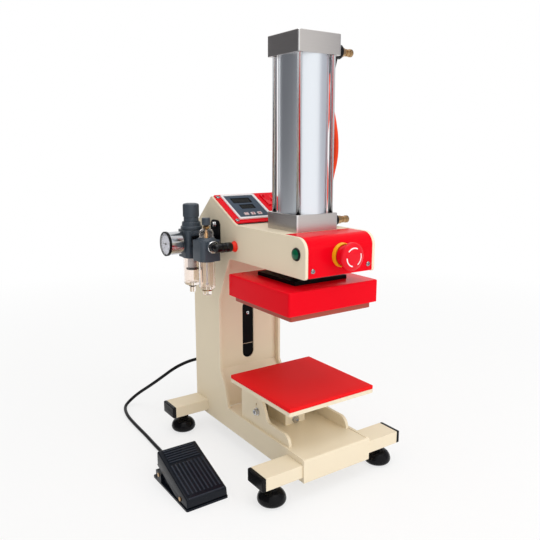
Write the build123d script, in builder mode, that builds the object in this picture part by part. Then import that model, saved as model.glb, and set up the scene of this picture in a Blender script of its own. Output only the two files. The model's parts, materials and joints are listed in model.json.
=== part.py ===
from build123d import *
import os
from math import cos, hypot, pi, radians, sin, tan

os.makedirs("parts", exist_ok=True)

# A bench heat press worked by air: a C-shaped sheet steel stand with an air cylinder on its arm, a heated
# plate on the ram, a rubber-covered table below it, a controller on the sloping top, an air filter,
# regulator and oiler on the left side, and a foot pedal on a cable.
# X runs to the right, Y to the back, Z up. The origin is the middle of the rubber pad's top face, which
# lies under the ram. Heights in the values below are counted from the floor.

# Stand
pad_top_height = 141.5
chassis_width = 128.0
side_thickness = 5.0
sheet_thickness = 2.5
base_front_y = -95.0
base_bottom = 26.5
base_top = 63.5
chassis_back_y = 237.0
column_front_y = 147.0
arm_front_y = -92.5
arm_bottom = 328.0
arm_top = 385.5
throat_corner_y = 111.0
gusset_foot = 252.0
column_foot = 123.0
toe_y = 131.5
toe_height = 101.0
base_heel_y = 121.0
slope_foot_y = 88.0
slope_angle = 27.4
slope_length = 89.7
shoulder_y = 205.0
shoulder_height = 393.0
back_top_height = 364.0
deck_drop = 1.0
apron_thickness = 3.0
panel_recess = 9.0
panel_inset = 1.0
underside_recess = 2.0
slot_width = 23.0
slot_bottom = 134.0
slot_top = 240.0
slot_plate_thickness = 2.0
slot_plate_margin = 8.0
top_plate_thickness = 6.0
throat_radii = [4.0, 8.0, 12.0, 6.0, 5.0, 3.0]
back_radii = [3.0, 5.0, 5.0, 5.0]
slope_foot_radius = 6.0

# Crossbars and feet
bar_depth = 40.0
bar_height = 20.0
bar_wall = 2.0
bar_length = 256.0
bar_bottom = 34.0
front_bar_y = -72.0
rear_bar_y = 214.0
cap_thickness = 6.0
cap_edge = 2.0
cap_plug_length = 9.0
cap_plug_gap = 0.1
foot_radius = 21.5
foot_rim_height = 8.0
foot_dome_height = 22.0
foot_neck_radius = 9.0
foot_inset = 23.0
foot_sole_radius = 15.0
foot_shoulder_radius = 17.6
foot_shoulder_height = 17.2
foot_heel_radius = 20.3
foot_heel_height = 3.4

# Red head cover, its screws and the two push buttons
cover_thickness = 2.0
cover_bottom = 329.7
cover_corner = 19.0
cover_side_gap = 0.3
cover_seam_y = -39.0
screw_head_radius = 3.6
screw_head_height = 1.8
screw_shank_radius = 1.8
screw_shank_length = 8.0
front_screw_x = 51.0
front_screw_rise = 9.8
stop_drop = 27.5
stop_collar_radius = 17.5
stop_collar_depth = 6.0
stop_collar_wall = 2.0
stop_neck_radius = 15.0
stop_head_gap = 12.5
stop_barrel_radius = 11.0
stop_barrel_length = 26.0
stop_block = 28.0
stop_block_length = 22.0
stop_stem_radius = 5.0
stop_travel = 4.5
stop_cap_radius = 20.0
stop_cap_edge = 4.5
stop_crown = 4.0
running_gap = 0.05
button_gap = 0.5
start_y = -72.0
start_drop = 23.9
start_cap_radius = 7.4
start_cap_proud = 5.0
start_travel = 2.5
start_bezel_radius = 9.6
start_bezel_thickness = 2.5
start_barrel_wall = 1.3
start_barrel_length = 20.0
start_barrel_floor = 1.5

# Control panel on the slope: distances up the slope and out of it
plate_half_width = 61.0
plate_low = 3.0
plate_high = 88.0
plate_thickness = 2.0
controller_left = -51.0
controller_right = 14.5
controller_low = 10.8
controller_high = 84.0
controller_rise = 2.5
controller_lip = 3.6
controller_lip_right = 5.0
controller_lip_low = 4.5
controller_lip_high = 4.2
face_recess = 2.5
face_thickness = 1.6
controller_body_margin = 3.0
controller_depth = 55.0
display_left = -38.0
display_right = -1.0
display_low = 57.0
display_high = 73.0
lower_display_left = -31.5
lower_display_right = -4.0
lower_display_low = 39.5
lower_display_high = 52.5
display_sink = 0.8
key_width = 8.0
key_height = 7.0
key_s = 24.0
key_places = {"key_left": -31.8, "key_middle": -18.9, "key_right": -6.2}
key_gap = 0.15
key_travel = 0.6
key_proud = 0.9
rocker_x = 35.5
rocker_s = 64.0
rocker_width = 11.0
rocker_radius = 13.4
rocker_tilt = 12.0
rocker_gap = 0.25
rocker_rim = 2.0
rocker_bezel_rise = 2.0
rocker_case_wall = 1.2
cutout_gap = 0.2
rocker_case_depth = 20.0
panel_screw_x = 56.5
panel_screw_low = 10.0
panel_screw_high = 80.0

# Air cylinder
cap_side = 77.0
cap_corner = 4.0
lower_cap_height = 25.0
barrel_length = 224.0
upper_cap_height = 29.0
bore_radius = 31.5
barrel_radius = 37.0
tie_rod_radius = 3.5
tie_rod_place = 30.0
tie_head_radius = 6.5
tie_head_height = 6.0
hole_gap = 0.3
rod_radius = 10.0
rod_hole_gap = 1.0
piston_height = 26.0
piston_top_gap = 4.0
seal_groove_width = 3.0
seal_groove_depth = 2.5
stroke = 125.0
closed_gap = 0.4
valve_stem_radius = 6.0
valve_stem_length = 10.0
valve_hex_radius = 8.0
valve_hex_end = 44.0
valve_rise = {"lower": 8.5, "upper": 11.5}
valve_body_radius = {"lower": 8.2, "upper": 10.5}
valve_body_end = 67.0
valve_cone_end = 75.0
valve_cone_radius = 6.4
upper_port_x = 56.0
upper_port_y = 10.0
upper_port_drop = 29.0
upper_port_radius = 8.0
lower_port_x = 63.0
lower_port_y = 20.0
lower_port_radius = 4.6
needle_radius = 2.5
needle_depth = 9.0
needle_neck_radius = 5.4
needle_neck_end = 84.0
needle_knob_radius = 5.8
needle_knob_end = 90.5
needle_neck_gap = 0.3

# Air hoses: from the upper valve straight down into the arm, and from the lower valve round a loop into it
hose_radius = 4.0
hose_hole_gap = 0.3
hose_end_height = 372.0
upper_hose_foot = (54.0, 13.5)
upper_hose_route = [
    (56.0, 10.0, 617.0),
    (56.0, 15.5, 601.05),
    (57.0, 11.0, 565.0),
    (54.0, 16.5, 512.0),
    (55.0, 12.0, 470.0),
    (55.0, 11.5, 430.0),
    (*upper_hose_foot, 400.0),
    (*upper_hose_foot, hose_end_height),
]
lower_hose_foot = (50.0, 38.0)
lower_hose_route = [
    (63.0, 20.0, 394.0),
    (63.0, 46.0, 394.0),
    (60.0, 64.0, 418.0),
    (50.0, 72.0, 462.0),
    (44.0, 73.0, 515.0),
    (42.0, 72.0, 570.7),
    (50.8, 57.9, 587.3),
    (63.2, 38.1, 587.3),
    (72.0, 24.0, 570.7),
    (71.0, 13.0, 542.0),
    (70.0, 6.5, 516.0),
    (69.0, 6.0, 490.0),
    (66.0, 10.0, 466.0),
    (66.0, 18.0, 440.0),
    (58.0, 32.0, 416.0),
    (*lower_hose_foot, 396.0),
    (*lower_hose_foot, hose_end_height),
]

# Heated plate on the ram
flange_side = 98.0
flange_thickness = 6.0
flange_boss_radius = 18.0
flange_boss_height = 7.0
rod_seat_depth = 4.0
heater_width = 166.0
heater_depth = 163.0
heater_height = 34.0
heater_wall = 1.5
heater_corner = 3.0
heater_edge = 2.0
hot_plate_side = 150.0
hot_plate_thickness = 20.0
hot_plate_drop = 9.4
hot_boss_radius = 8.0
hot_boss_place = 45.0

# Table
pad_width = 162.0
pad_depth = 164.0
pad_thickness = 6.3
pad_corner = 2.0
table_thickness = 6.2
post_width = 39.0
post_front_y = 13.0
post_back_y = 65.0
post_wall = 4.0
cheek_thickness = 5.0
cheek_low_top = 80.5
cheek_nose_y = -51.0
cheek_nose_radius = 16.0
cheek_inner_radius = 12.0
cheek_top_radius = 4.0
cheek_tall_y = 8.0
cheek_tall_step = 22.0
cheek_back_y = 84.0
cheek_hole_radius = 2.2
cheek_hole_step = 3.0
cheek_hole_rise = 11.5
clamp_bolt_radius = 3.0
clamp_head_radius = 4.8
clamp_head_height = 4.5
clamp_washer_radius = 6.2
clamp_washer_thickness = 1.5
side_bolt_y = 36.0
side_bolt_height = 88.5
front_bolt_height = 69.5
front_bolt_grip = 10.0

# Air filter and regulator, and oiler, on a bracket on the left side plate. Heights of the unit's pieces are
# counted from the height of its ports.
air_x = -97.0
air_height = 351.0
regulator_y = 178.0
oiler_y = 126.0
air_body_side = 36.0
air_body_corner = 7.0
regulator_low_from_port = -25.0
regulator_high_from_port = 21.0
regulator_collar_radius = 17.0
regulator_collar_height = 6.0
bonnet_radius = 10.5
bonnet_height = 22.0
regulator_knob_radius = 13.5
regulator_knob_top_from_port = 64.0
knob_skirt_gap = 0.6
oiler_low_from_port = -24.0
oiler_high_from_port = 9.0
oiler_shoulder_low_radius = 16.0
oiler_shoulder_high_radius = 12.5
oiler_shoulder_top_from_port = 13.5
sight_radius = 11.5
sight_top_from_port = 27.0
oiler_neck_radius = 5.5
oiler_neck_top_from_port = 33.0
oiler_knob_radius = 6.8
oiler_knob_top_from_port = 45.0
oiler_screw_radius = 1.5
oiler_screw_depth = 8.0
bowl_wall = 2.0
bowl_floor = 2.5
filter_bowl_radius = 14.6
filter_bowl_bottom_from_port = -74.0
filter_drain_bottom_from_port = -86.0
oiler_bowl_radius = 13.4
oiler_bowl_bottom_from_port = -72.0
oiler_drain_bottom_from_port = -81.0
filter_drain_radius = 5.0
oiler_drain_radius = 7.0
drain_hole_radius = 1.2
port_boss_radius = 10.0
port_boss_length = 4.0
inlet_radius = 5.7
inlet_depth = 11.0
gauge_radius = 19.0
gauge_bezel_radius = 20.2
gauge_stem_radius = 5.0
gauge_stem_length = 5.0
gauge_case_length = 22.0
gauge_bezel_length = 4.0
gauge_face_depth = 2.6
gauge_rim = 2.2
needle_length = 13.0
needle_angle = 38.0
needle_tail = 4.0
needle_thickness = 0.4
needle_lift = 1.0
needle_pin_radius = 0.8
needle_pin_depth = 3.0
bracket_thickness = 3.0
bracket_half_width = 14.0
bracket_corner = 9.0
bracket_low_from_port = -5.0
bracket_high_from_port = 37.0
bracket_arm_low_from_port = -5.0
bracket_arm_high_from_port = 13.0
bracket_arm_end = -110.0
bracket_hole_radius = 2.6
bracket_hole_height_from_port = 30.0
elbow_radius = 7.0
elbow_front = 16.5
collar_radius = 8.0
collar_length = 6.0
fitting_hole_radius = 5.0
elbow_stem_radius = 4.0
elbow_stem_length = 4.5

# Rear fittings
inlet_x = 24.0
inlet_height = 70.0
inlet_flange_width = 50.0
inlet_flange_height = 28.0
inlet_flange_thickness = 2.5
socket_width = 24.5
socket_height = 16.5
socket_depth = 16.0
socket_wall = 1.8
socket_pin_width = 4.0
socket_pin_thickness = 2.0
socket_pin_length = 9.0
socket_pin_pitch = 7.0
gland_x = -35.0
gland_height = 108.0
gland_nut_radius = 9.0
gland_nut_length = 6.0
gland_dome_radius = 6.0
gland_dome_length = 9.0
gland_thread_radius = 6.0
gland_thread_length = 8.0

# Foot pedal
pedal_x = -185.0
pedal_width = 65.0
pedal_front_y = -25.0
pedal_back_y = 76.0
pedal_front_top = 16.5
pedal_back_top = 50.5
pedal_skin = 2.4
pedal_side_gap = 0.8
skirt_back_low = 26.5
skirt_front_low = 6.0
skirt_knee_y = 16.0
pedal_front_low = 4.0
pedal_round = 3.0
hinge_y = -3.0
hinge_height = 9.0
hinge_radius = 2.5
pin_head_radius = 3.2
pin_head_length = 1.2
tray_back_y = 90.0
tray_front_gap = 1.6
sole_overhang = 1.5
tray_height = 11.0
tray_wall = 2.5
tray_floor = 3.0
lug_y = 68.0
lug_half_length = 7.0
lug_height = 17.5
stop_pin_height = 13.8
spring_y = 45.0
spring_radius = 5.5
spring_wire = 0.9
spring_turns = 6
spring_top = 33.0
spring_seat_radius = 7.5
spring_end_gap = 0.1
hinge_lug_cover = 2.0
spring_post_gap = 0.4
spring_post_height = 6.0
cable_spout_wall = 1.0
treadle_radii = [1.0, 2.5, 3.5, 2.0, 6.0, 3.0]
rib_height = 1.0
rib_edge = 7.0
lateral_rib_count = 6
lateral_rib_width = 2.0
lateral_rib_start = 75.2
lateral_rib_pitch = 4.8
long_rib_count = 9
long_rib_width = 2.6
long_rib_start = 8.6
long_rib_end = 68.7
front_lip_start = 0.6
front_lip_end = 3.0
front_lip_edge = 3.0

# Pedal cable from the gland at the back down to the floor and round to the pedal
cable_radius = 3.0
cable_rest_height = 3.2
cable_x = -184.5
cable_end_y = 97.0
cable_end_height = 7.0
cable_straight_exit = 13.0


def up(height):
    """Height above the pad's top face of a height above the floor."""
    return height - pad_top_height


def keep(builder, name):
    """Labels a finished piece and writes its file."""
    builder.part.label = name
    export_step(builder.part, f"parts/{name}.step")


def block(x0, x1, y0, y1, z0, z1, mode=Mode.ADD):
    """Adds or cuts a block between two limits each way."""
    with Locations(((x0 + x1) / 2, (y0 + y1) / 2, (z0 + z1) / 2)):
        Box(x1 - x0, y1 - y0, z1 - z0, mode=mode)


def bar(start, direction, length, radius, mode=Mode.ADD, end_radius=None):
    """Adds or cuts a round bar, or a cone, that runs from a point in a direction."""
    with Locations(Plane(origin=start, z_dir=direction)):
        low = (Align.CENTER, Align.CENTER, Align.MIN)
        if end_radius is None:
            Cylinder(radius, length, align=low, mode=mode)
        else:
            Cone(radius, end_radius, length, align=low, mode=mode)


def bar_z(radius, low, high, x=0.0, y=0.0, mode=Mode.ADD):
    """Adds or cuts an upright round bar between two heights."""
    bar((x, y, low), (0, 0, 1), high - low, radius, mode)


def fold_outline(points, near, far):
    """Outline of a folded sheet whose faces lie at two distances to the left of a line of folds."""
    def shifted(distance):
        moved = []
        for i, (a, b) in enumerate(points):
            normals = []
            for p, q in zip(points[max(i - 1, 0):i + 1], points[max(i - 1, 0) + 1:i + 2]):
                run = hypot(q[0] - p[0], q[1] - p[1])
                normals.append((-(q[1] - p[1]) / run, (q[0] - p[0]) / run))
            nx = sum(n[0] for n in normals)
            ny = sum(n[1] for n in normals)
            size = distance * len(normals) / (nx * nx + ny * ny)
            moved.append((a + nx * size, b + ny * size))
        return moved
    return shifted(near) + shifted(far)[::-1]


X = (1, 0, 0)
Y = (0, 1, 0)
LEFT = (-1, 0, 0)
FRONT = (0, -1, 0)

half_width = chassis_width / 2
inner_half = half_width - side_thickness
deck_top = base_top - deck_drop
stop_height = arm_top - stop_drop
start_height = arm_top - start_drop
front_screw_height = cover_bottom + front_screw_rise
slope_sin = sin(radians(slope_angle))
slope_cos = cos(radians(slope_angle))
slope_top_y = slope_foot_y + slope_length * slope_cos
slope_top = arm_top + slope_length * slope_sin
panel_plane = Plane(origin=(0, slope_foot_y, up(arm_top)), x_dir=X, z_dir=(0, -slope_sin, slope_cos))
bar_top = bar_bottom + bar_height
bar_places = (front_bar_y, rear_bar_y)

# Side plates: the C outline of the stand in Y and height, with a corner radius at each point
throat_line = [
    (arm_front_y, arm_bottom),
    (throat_corner_y, arm_bottom),
    (column_front_y, gusset_foot),
    (column_front_y, column_foot),
    (toe_y, toe_height),
    (base_heel_y, base_top),
]
back_line = [
    (chassis_back_y, base_bottom),
    (chassis_back_y, back_top_height),
    (shoulder_y, shoulder_height),
    (slope_top_y, slope_top),
]
side_points = (
    throat_line
    + [(base_front_y + apron_thickness, base_top), (base_front_y + apron_thickness, base_bottom)]
    + back_line
    + [(slope_foot_y, arm_top), (arm_front_y, arm_top)]
)
side_radii = throat_radii + [0.0, 0.0] + back_radii + [slope_foot_radius, cover_corner]
side_outline = [(y, up(height)) for y, height in side_points]

for name, x_face in (("side_plate_left", -half_width), ("side_plate_right", inner_half)):
    with BuildPart() as side_plate:
        with BuildSketch(Plane.YZ.offset(x_face)):
            with BuildLine():
                FilletPolyline(*side_outline, radius=side_radii, close=True)
            make_face()
            for bar_y in bar_places:
                with Locations((bar_y, up(bar_bottom + bar_height / 2))):
                    Rectangle(bar_depth, bar_height, mode=Mode.SUBTRACT)
        extrude(amount=side_thickness)
        if x_face < 0:
            through = side_thickness * 3
            hole_x = x_face - side_thickness
            bar((hole_x, start_y, up(start_height)), X, through,
                start_cap_radius + start_barrel_wall + running_gap * 2, Mode.SUBTRACT)
            fitting_y = oiler_y - air_body_side / 2 - elbow_front
            bar((hole_x, fitting_y, up(air_height)), X, through, fitting_hole_radius, Mode.SUBTRACT)
    keep(side_plate, name)

# Base cover: the deck between the side plates, folded down in front as an apron over their ends
with BuildPart() as base_cover:
    block(-inner_half, inner_half, base_front_y + apron_thickness, base_heel_y + panel_recess,
          up(deck_top - sheet_thickness), up(deck_top))
    block(-half_width, half_width, base_front_y, base_front_y + apron_thickness,
          up(base_bottom), up(deck_top))
    apron_edges = base_cover.edges().filter_by(Axis.X).group_by(Axis.Z)[-1].sort_by(Axis.Y)[:1]
    fillet(apron_edges, radius=apron_thickness * 0.9)
keep(base_cover, "base_cover")

# Column front panel: closes the arm from below, turns down the gusset and stands behind the side plates'
# front edges, with a round-ended slot up its middle
front_fold = [(y, up(height)) for y, height in throat_line]
front_fold[0] = (arm_front_y + cover_thickness, up(arm_bottom))
front_fold = [front_fold[0]] + [(y + panel_recess, z) for y, z in front_fold[1:]]
front_fold[-1] = (front_fold[-1][0], up(deck_top))
front_fold[0] = (front_fold[0][0], up(arm_bottom + underside_recess))
front_fold[1] = (front_fold[1][0], up(arm_bottom + underside_recess))
slot_half = slot_width / 2
with BuildPart() as column_front_panel:
    with BuildSketch(Plane.YZ.offset(-inner_half)):
        with BuildLine():
            Polyline(*fold_outline(front_fold, 0.0, sheet_thickness), close=True)
        make_face()
    extrude(amount=inner_half * 2)
    bar_z(rod_radius + rod_hole_gap, up(arm_bottom), up(arm_bottom + panel_recess * 2), mode=Mode.SUBTRACT)
    panel_y = column_front_y + panel_recess
    block(-slot_half, slot_half, panel_y - sheet_thickness, panel_y + sheet_thickness * 2,
          up(slot_bottom + slot_half), up(slot_top - slot_half), Mode.SUBTRACT)
    for height in (slot_bottom + slot_half, slot_top - slot_half):
        bar((0, panel_y - sheet_thickness, up(height)), Y, sheet_thickness * 3, slot_half, Mode.SUBTRACT)
keep(column_front_panel, "column_front_panel")

# Black plate that closes the slot from behind
slot_plate_front = panel_y + sheet_thickness
with BuildPart() as slot_plate:
    block(-slot_half - slot_plate_margin, slot_half + slot_plate_margin,
          slot_plate_front, slot_plate_front + slot_plate_thickness,
          up(slot_bottom - slot_plate_margin), up(slot_top + slot_plate_margin))
keep(slot_plate, "slot_plate")

# Column back panel, folded over the shoulder up to the control plate
back_fold = [(y, up(height)) for y, height in back_line]
back_face_y = chassis_back_y - panel_inset
cutout_margin = socket_wall + cutout_gap
with BuildPart() as column_back_panel:
    with BuildSketch(Plane.YZ.offset(-inner_half)):
        with BuildLine():
            Polyline(*fold_outline(back_fold, panel_inset, panel_inset + cover_thickness), close=True)
        make_face()
    extrude(amount=inner_half * 2)
    block(inlet_x - socket_width / 2 - cutout_margin, inlet_x + socket_width / 2 + cutout_margin,
          back_face_y - cover_thickness * 2, back_face_y + 1,
          up(inlet_height - socket_height / 2 - cutout_margin),
          up(inlet_height + socket_height / 2 + cutout_margin), Mode.SUBTRACT)
    bar((gland_x, back_face_y - cover_thickness * 2, up(gland_height)), Y, cover_thickness * 3,
        gland_thread_radius + 0.1, Mode.SUBTRACT)
keep(column_back_panel, "column_back_panel")

# Arm top plate: carries the cylinder, with the rod's hole and the two hose holes
with BuildPart() as arm_top_plate:
    block(-inner_half, inner_half, cover_seam_y, slope_foot_y, up(arm_top - top_plate_thickness), up(arm_top))
    bar_z(rod_radius + rod_hole_gap, up(arm_top - top_plate_thickness * 2), up(arm_top + 1),
          mode=Mode.SUBTRACT)
    for x, y in (upper_hose_foot, lower_hose_foot):
        bar_z(hose_radius + hose_hole_gap, up(arm_top - top_plate_thickness * 2), up(arm_top + 1), x, y,
              Mode.SUBTRACT)
keep(arm_top_plate, "arm_top_plate")

# Crossbars: two rectangular tubes through both side plates
with BuildPart() as crossbars:
    for bar_y in bar_places:
        block(-bar_length / 2, bar_length / 2, bar_y - bar_depth / 2, bar_y + bar_depth / 2,
              up(bar_bottom), up(bar_top))
        block(-bar_length / 2, bar_length / 2,
              bar_y - bar_depth / 2 + bar_wall, bar_y + bar_depth / 2 - bar_wall,
              up(bar_bottom + bar_wall), up(bar_top - bar_wall), Mode.SUBTRACT)
keep(crossbars, "crossbars")

# Black end caps with plugs in the tubes
plug_half = bar_depth / 2 - bar_wall - cap_plug_gap
with BuildPart() as crossbar_caps:
    for bar_y in bar_places:
        for side in (-1, 1):
            ends = sorted((side * bar_length / 2, side * (bar_length / 2 + cap_thickness)))
            block(*ends, bar_y - bar_depth / 2, bar_y + bar_depth / 2, up(bar_bottom), up(bar_top))
            plug = sorted((side * bar_length / 2, side * (bar_length / 2 - cap_plug_length)))
            block(*plug, bar_y - plug_half, bar_y + plug_half,
                  up(bar_bottom + bar_wall + cap_plug_gap), up(bar_top - bar_wall - cap_plug_gap))
    for side in (0, -1):
        outer = crossbar_caps.faces().filter_by(Axis.X).group_by(Axis.X)[side].edges()
        fillet(outer, radius=cap_edge)
keep(crossbar_caps, "crossbar_caps")

# Domed rubber feet under the crossbars
with BuildPart() as feet:
    with BuildSketch(Plane.XZ):
        with BuildLine():
            Line((0, 0), (foot_sole_radius, 0))
            ThreePointArc((foot_sole_radius, 0), (foot_heel_radius, foot_heel_height),
                          (foot_radius, foot_rim_height))
            ThreePointArc((foot_radius, foot_rim_height),
                          (foot_shoulder_radius, foot_shoulder_height),
                          (foot_neck_radius, foot_dome_height))
            Polyline((foot_neck_radius, foot_dome_height), (foot_neck_radius, bar_bottom), (0, bar_bottom),
                     (0, 0))
        make_face()
    foot = revolve(axis=Axis.Z, mode=Mode.PRIVATE)
    foot_x = bar_length / 2 - foot_inset
    foot_places = [(x, y, up(0)) for x in (-foot_x, foot_x) for y in bar_places]
    with Locations(*foot_places):
        add(foot)
keep(feet, "feet")

# Head cover: red sheet over the arm's front and top, rounded like the side plates' corner
cover_half = inner_half - cover_side_gap
with BuildPart() as head_cover:
    with BuildSketch(Plane.YZ.offset(-cover_half)):
        with BuildLine():
            inner_front = arm_front_y + cover_thickness
            FilletPolyline(
                (arm_front_y, up(cover_bottom)), (arm_front_y, up(arm_top)), (cover_seam_y, up(arm_top)),
                (cover_seam_y, up(arm_top - cover_thickness)), (inner_front, up(arm_top - cover_thickness)),
                (inner_front, up(cover_bottom)),
                radius=[0, cover_corner, 0, 0, cover_corner - cover_thickness, 0], close=True)
        make_face()
    extrude(amount=cover_half * 2)
    bar((0, arm_front_y - 1, up(stop_height)), Y, cover_thickness * 3, stop_barrel_radius + 0.1,
        Mode.SUBTRACT)
    for x in (-front_screw_x, front_screw_x):
        bar((x, arm_front_y - 1, up(front_screw_height)), Y, cover_thickness * 3,
            screw_shank_radius + 0.1, Mode.SUBTRACT)
keep(head_cover, "head_cover")

# Control plate: red plate on the slope, cut out for the controller and the rocker switch
body_left = controller_left + controller_body_margin
body_right = controller_right - controller_body_margin
body_low = controller_low + controller_body_margin
body_high = controller_high - controller_body_margin
rocker_hole_half = rocker_width / 2 + rocker_gap + rocker_case_wall
rocker_hole_length = rocker_radius + rocker_gap + rocker_case_wall
screw_places = [(x, s) for x in (-panel_screw_x, panel_screw_x) for s in (panel_screw_low, panel_screw_high)]
with BuildPart(panel_plane) as control_plate:
    block(-plate_half_width, plate_half_width, plate_low, plate_high, 0, plate_thickness)
    fillet(control_plate.edges().filter_by(Axis(panel_plane.origin, panel_plane.z_dir)), radius=2.0)
    block(body_left - cutout_gap, body_right + cutout_gap, body_low - cutout_gap, body_high + cutout_gap,
          -1, plate_thickness + 1, Mode.SUBTRACT)
    block(rocker_x - rocker_hole_half - cutout_gap, rocker_x + rocker_hole_half + cutout_gap,
          rocker_s - rocker_hole_length - cutout_gap, rocker_s + rocker_hole_length + cutout_gap,
          -1, plate_thickness + 1, Mode.SUBTRACT)
    for x, s in screw_places:
        bar((x, s, -1), (0, 0, 1), plate_thickness + 2, screw_shank_radius + 0.1, Mode.SUBTRACT)
keep(control_plate, "control_plate")

# Cross-headed screws: two in the head cover's front, four in the control plate
def screw(place, inward):
    """Adds a pan-headed screw whose seat is at a place, pointing inward."""
    outward = tuple(-value for value in inward)
    bar(place, outward, screw_head_height, screw_head_radius, end_radius=screw_head_radius * 0.6)
    bar(place, inward, screw_shank_length, screw_shank_radius)


with BuildPart() as casing_screws:
    for x in (-front_screw_x, front_screw_x):
        screw((x, arm_front_y, up(front_screw_height)), Y)
    for x, s in screw_places:
        seat = panel_plane.from_local_coords((x, s, plate_thickness))
        screw(seat, tuple(-panel_plane.z_dir))
keep(casing_screws, "casing_screws")

# Controller: white frame with its body behind the plate, a dark face with two display windows, three keys
face_low = controller_low + controller_lip_low
face_high = controller_high - controller_lip_high
face_left = controller_left + controller_lip
face_right = controller_right - controller_lip_right
frame_top = plate_thickness + controller_rise
face_floor = frame_top - face_recess
face_top = face_floor + face_thickness
with BuildPart(panel_plane) as controller_frame:
    block(controller_left, controller_right, controller_low, controller_high, plate_thickness, frame_top)
    frame_edges = controller_frame.edges().filter_by(Axis(panel_plane.origin, panel_plane.z_dir))
    fillet(frame_edges, radius=2.5)
    block(face_left, face_right, face_low, face_high, face_floor, frame_top + 1, Mode.SUBTRACT)
    block(body_left, body_right, body_low, body_high, -controller_depth, plate_thickness)
keep(controller_frame, "controller_frame")

with BuildPart(panel_plane) as controller_face:
    block(face_left, face_right, face_low, face_high, face_floor, face_top)
    block(display_left, display_right, display_low, display_high,
          face_top - display_sink, face_top + 1, Mode.SUBTRACT)
    block(lower_display_left, lower_display_right, lower_display_low, lower_display_high,
          face_top - display_sink, face_top + 1, Mode.SUBTRACT)
    for x in key_places.values():
        block(x - key_width / 2 - key_gap, x + key_width / 2 + key_gap,
              key_s - key_height / 2 - key_gap, key_s + key_height / 2 + key_gap,
              face_floor - 1, face_top + 1, Mode.SUBTRACT)
keep(controller_face, "controller_face")

for name, x in key_places.items():
    with BuildPart(panel_plane) as key:
        block(x - key_width / 2, x + key_width / 2, key_s - key_height / 2, key_s + key_height / 2,
              face_floor + key_travel + 0.1, face_top + key_proud)
        fillet(key.edges().filter_by(Axis(panel_plane.origin, panel_plane.z_dir)), radius=1.2)
    keep(key, name)

# Rocker switch: a case with a round cradle, and a rocker that tilts in it about its own middle
rocker_pivot = panel_plane.from_local_coords((rocker_x, rocker_s, plate_thickness))
with BuildPart(panel_plane) as rocker_bezel:
    flange_half = rocker_hole_half + rocker_rim
    flange_length = rocker_hole_length + rocker_rim
    block(rocker_x - flange_half, rocker_x + flange_half, rocker_s - flange_length, rocker_s + flange_length,
          plate_thickness, plate_thickness + rocker_bezel_rise)
    block(rocker_x - rocker_hole_half, rocker_x + rocker_hole_half,
          rocker_s - rocker_hole_length, rocker_s + rocker_hole_length, -rocker_case_depth, plate_thickness)
    cradle_half = rocker_width / 2 + rocker_gap
    block(rocker_x - cradle_half, rocker_x + cradle_half,
          rocker_s - rocker_radius - rocker_gap, rocker_s + rocker_radius + rocker_gap,
          plate_thickness, plate_thickness + rocker_bezel_rise + 1, Mode.SUBTRACT)
    bar((rocker_x - cradle_half, rocker_s, plate_thickness), X, cradle_half * 2,
        rocker_radius + rocker_gap, Mode.SUBTRACT)
keep(rocker_bezel, "rocker_bezel")

# The rocker is a half disc whose top is a shallow V. It rests with its lower end pressed in.
rocker_plane = Plane(origin=rocker_pivot, x_dir=panel_plane.y_dir, z_dir=X)
with BuildPart() as rocker_switch:
    with BuildSketch(rocker_plane.offset(-rocker_width / 2)):
        Circle(rocker_radius)
        with BuildLine():
            reach = rocker_radius * 2
            wide = radians(rocker_tilt * 2)
            Polyline((0, 0), (reach * cos(wide), reach * sin(wide)), (0, reach * 1.5), (-reach, reach),
                     (-reach, 0), close=True)
        make_face(mode=Mode.SUBTRACT)
    extrude(amount=rocker_width)
keep(rocker_switch, "rocker_switch")

# Emergency stop: yellow collar with its switch behind the cover, a stem that slides in it, and a red
# mushroom head whose neck goes down into the collar
collar_face_y = arm_front_y - stop_collar_depth
collar_floor_y = arm_front_y - stop_collar_wall * 0.5
stem_back_y = arm_front_y + stop_barrel_length * 0.7
neck_back_y = collar_floor_y - stop_travel - button_gap
mushroom_back_y = arm_front_y - stop_head_gap - stop_collar_depth
stem_front_y = mushroom_back_y - stop_cap_edge
stop_recess_radius = stop_collar_radius - stop_collar_wall
with BuildPart() as stop_collar:
    bar((0, arm_front_y, up(stop_height)), FRONT, stop_collar_depth, stop_collar_radius,
        end_radius=stop_collar_radius - 0.8)
    bar((0, collar_floor_y, up(stop_height)), FRONT, stop_collar_depth, stop_recess_radius, Mode.SUBTRACT)
    bar((0, arm_front_y, up(stop_height)), Y, stop_barrel_length, stop_barrel_radius)
    block(-stop_block / 2, stop_block / 2,
          arm_front_y + stop_barrel_length, arm_front_y + stop_barrel_length + stop_block_length,
          up(stop_height) - stop_block / 2, up(stop_height) + stop_block / 2)
    bore_back_y = stem_back_y + stop_travel + button_gap
    bar((0, bore_back_y, up(stop_height)), FRONT, bore_back_y - collar_face_y,
        stop_stem_radius + running_gap, Mode.SUBTRACT)
keep(stop_collar, "stop_collar")

with BuildPart() as stop_stem:
    bar((0, stem_back_y, up(stop_height)), FRONT, stem_back_y - stem_front_y, stop_stem_radius)
keep(stop_stem, "stop_stem")

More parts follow.
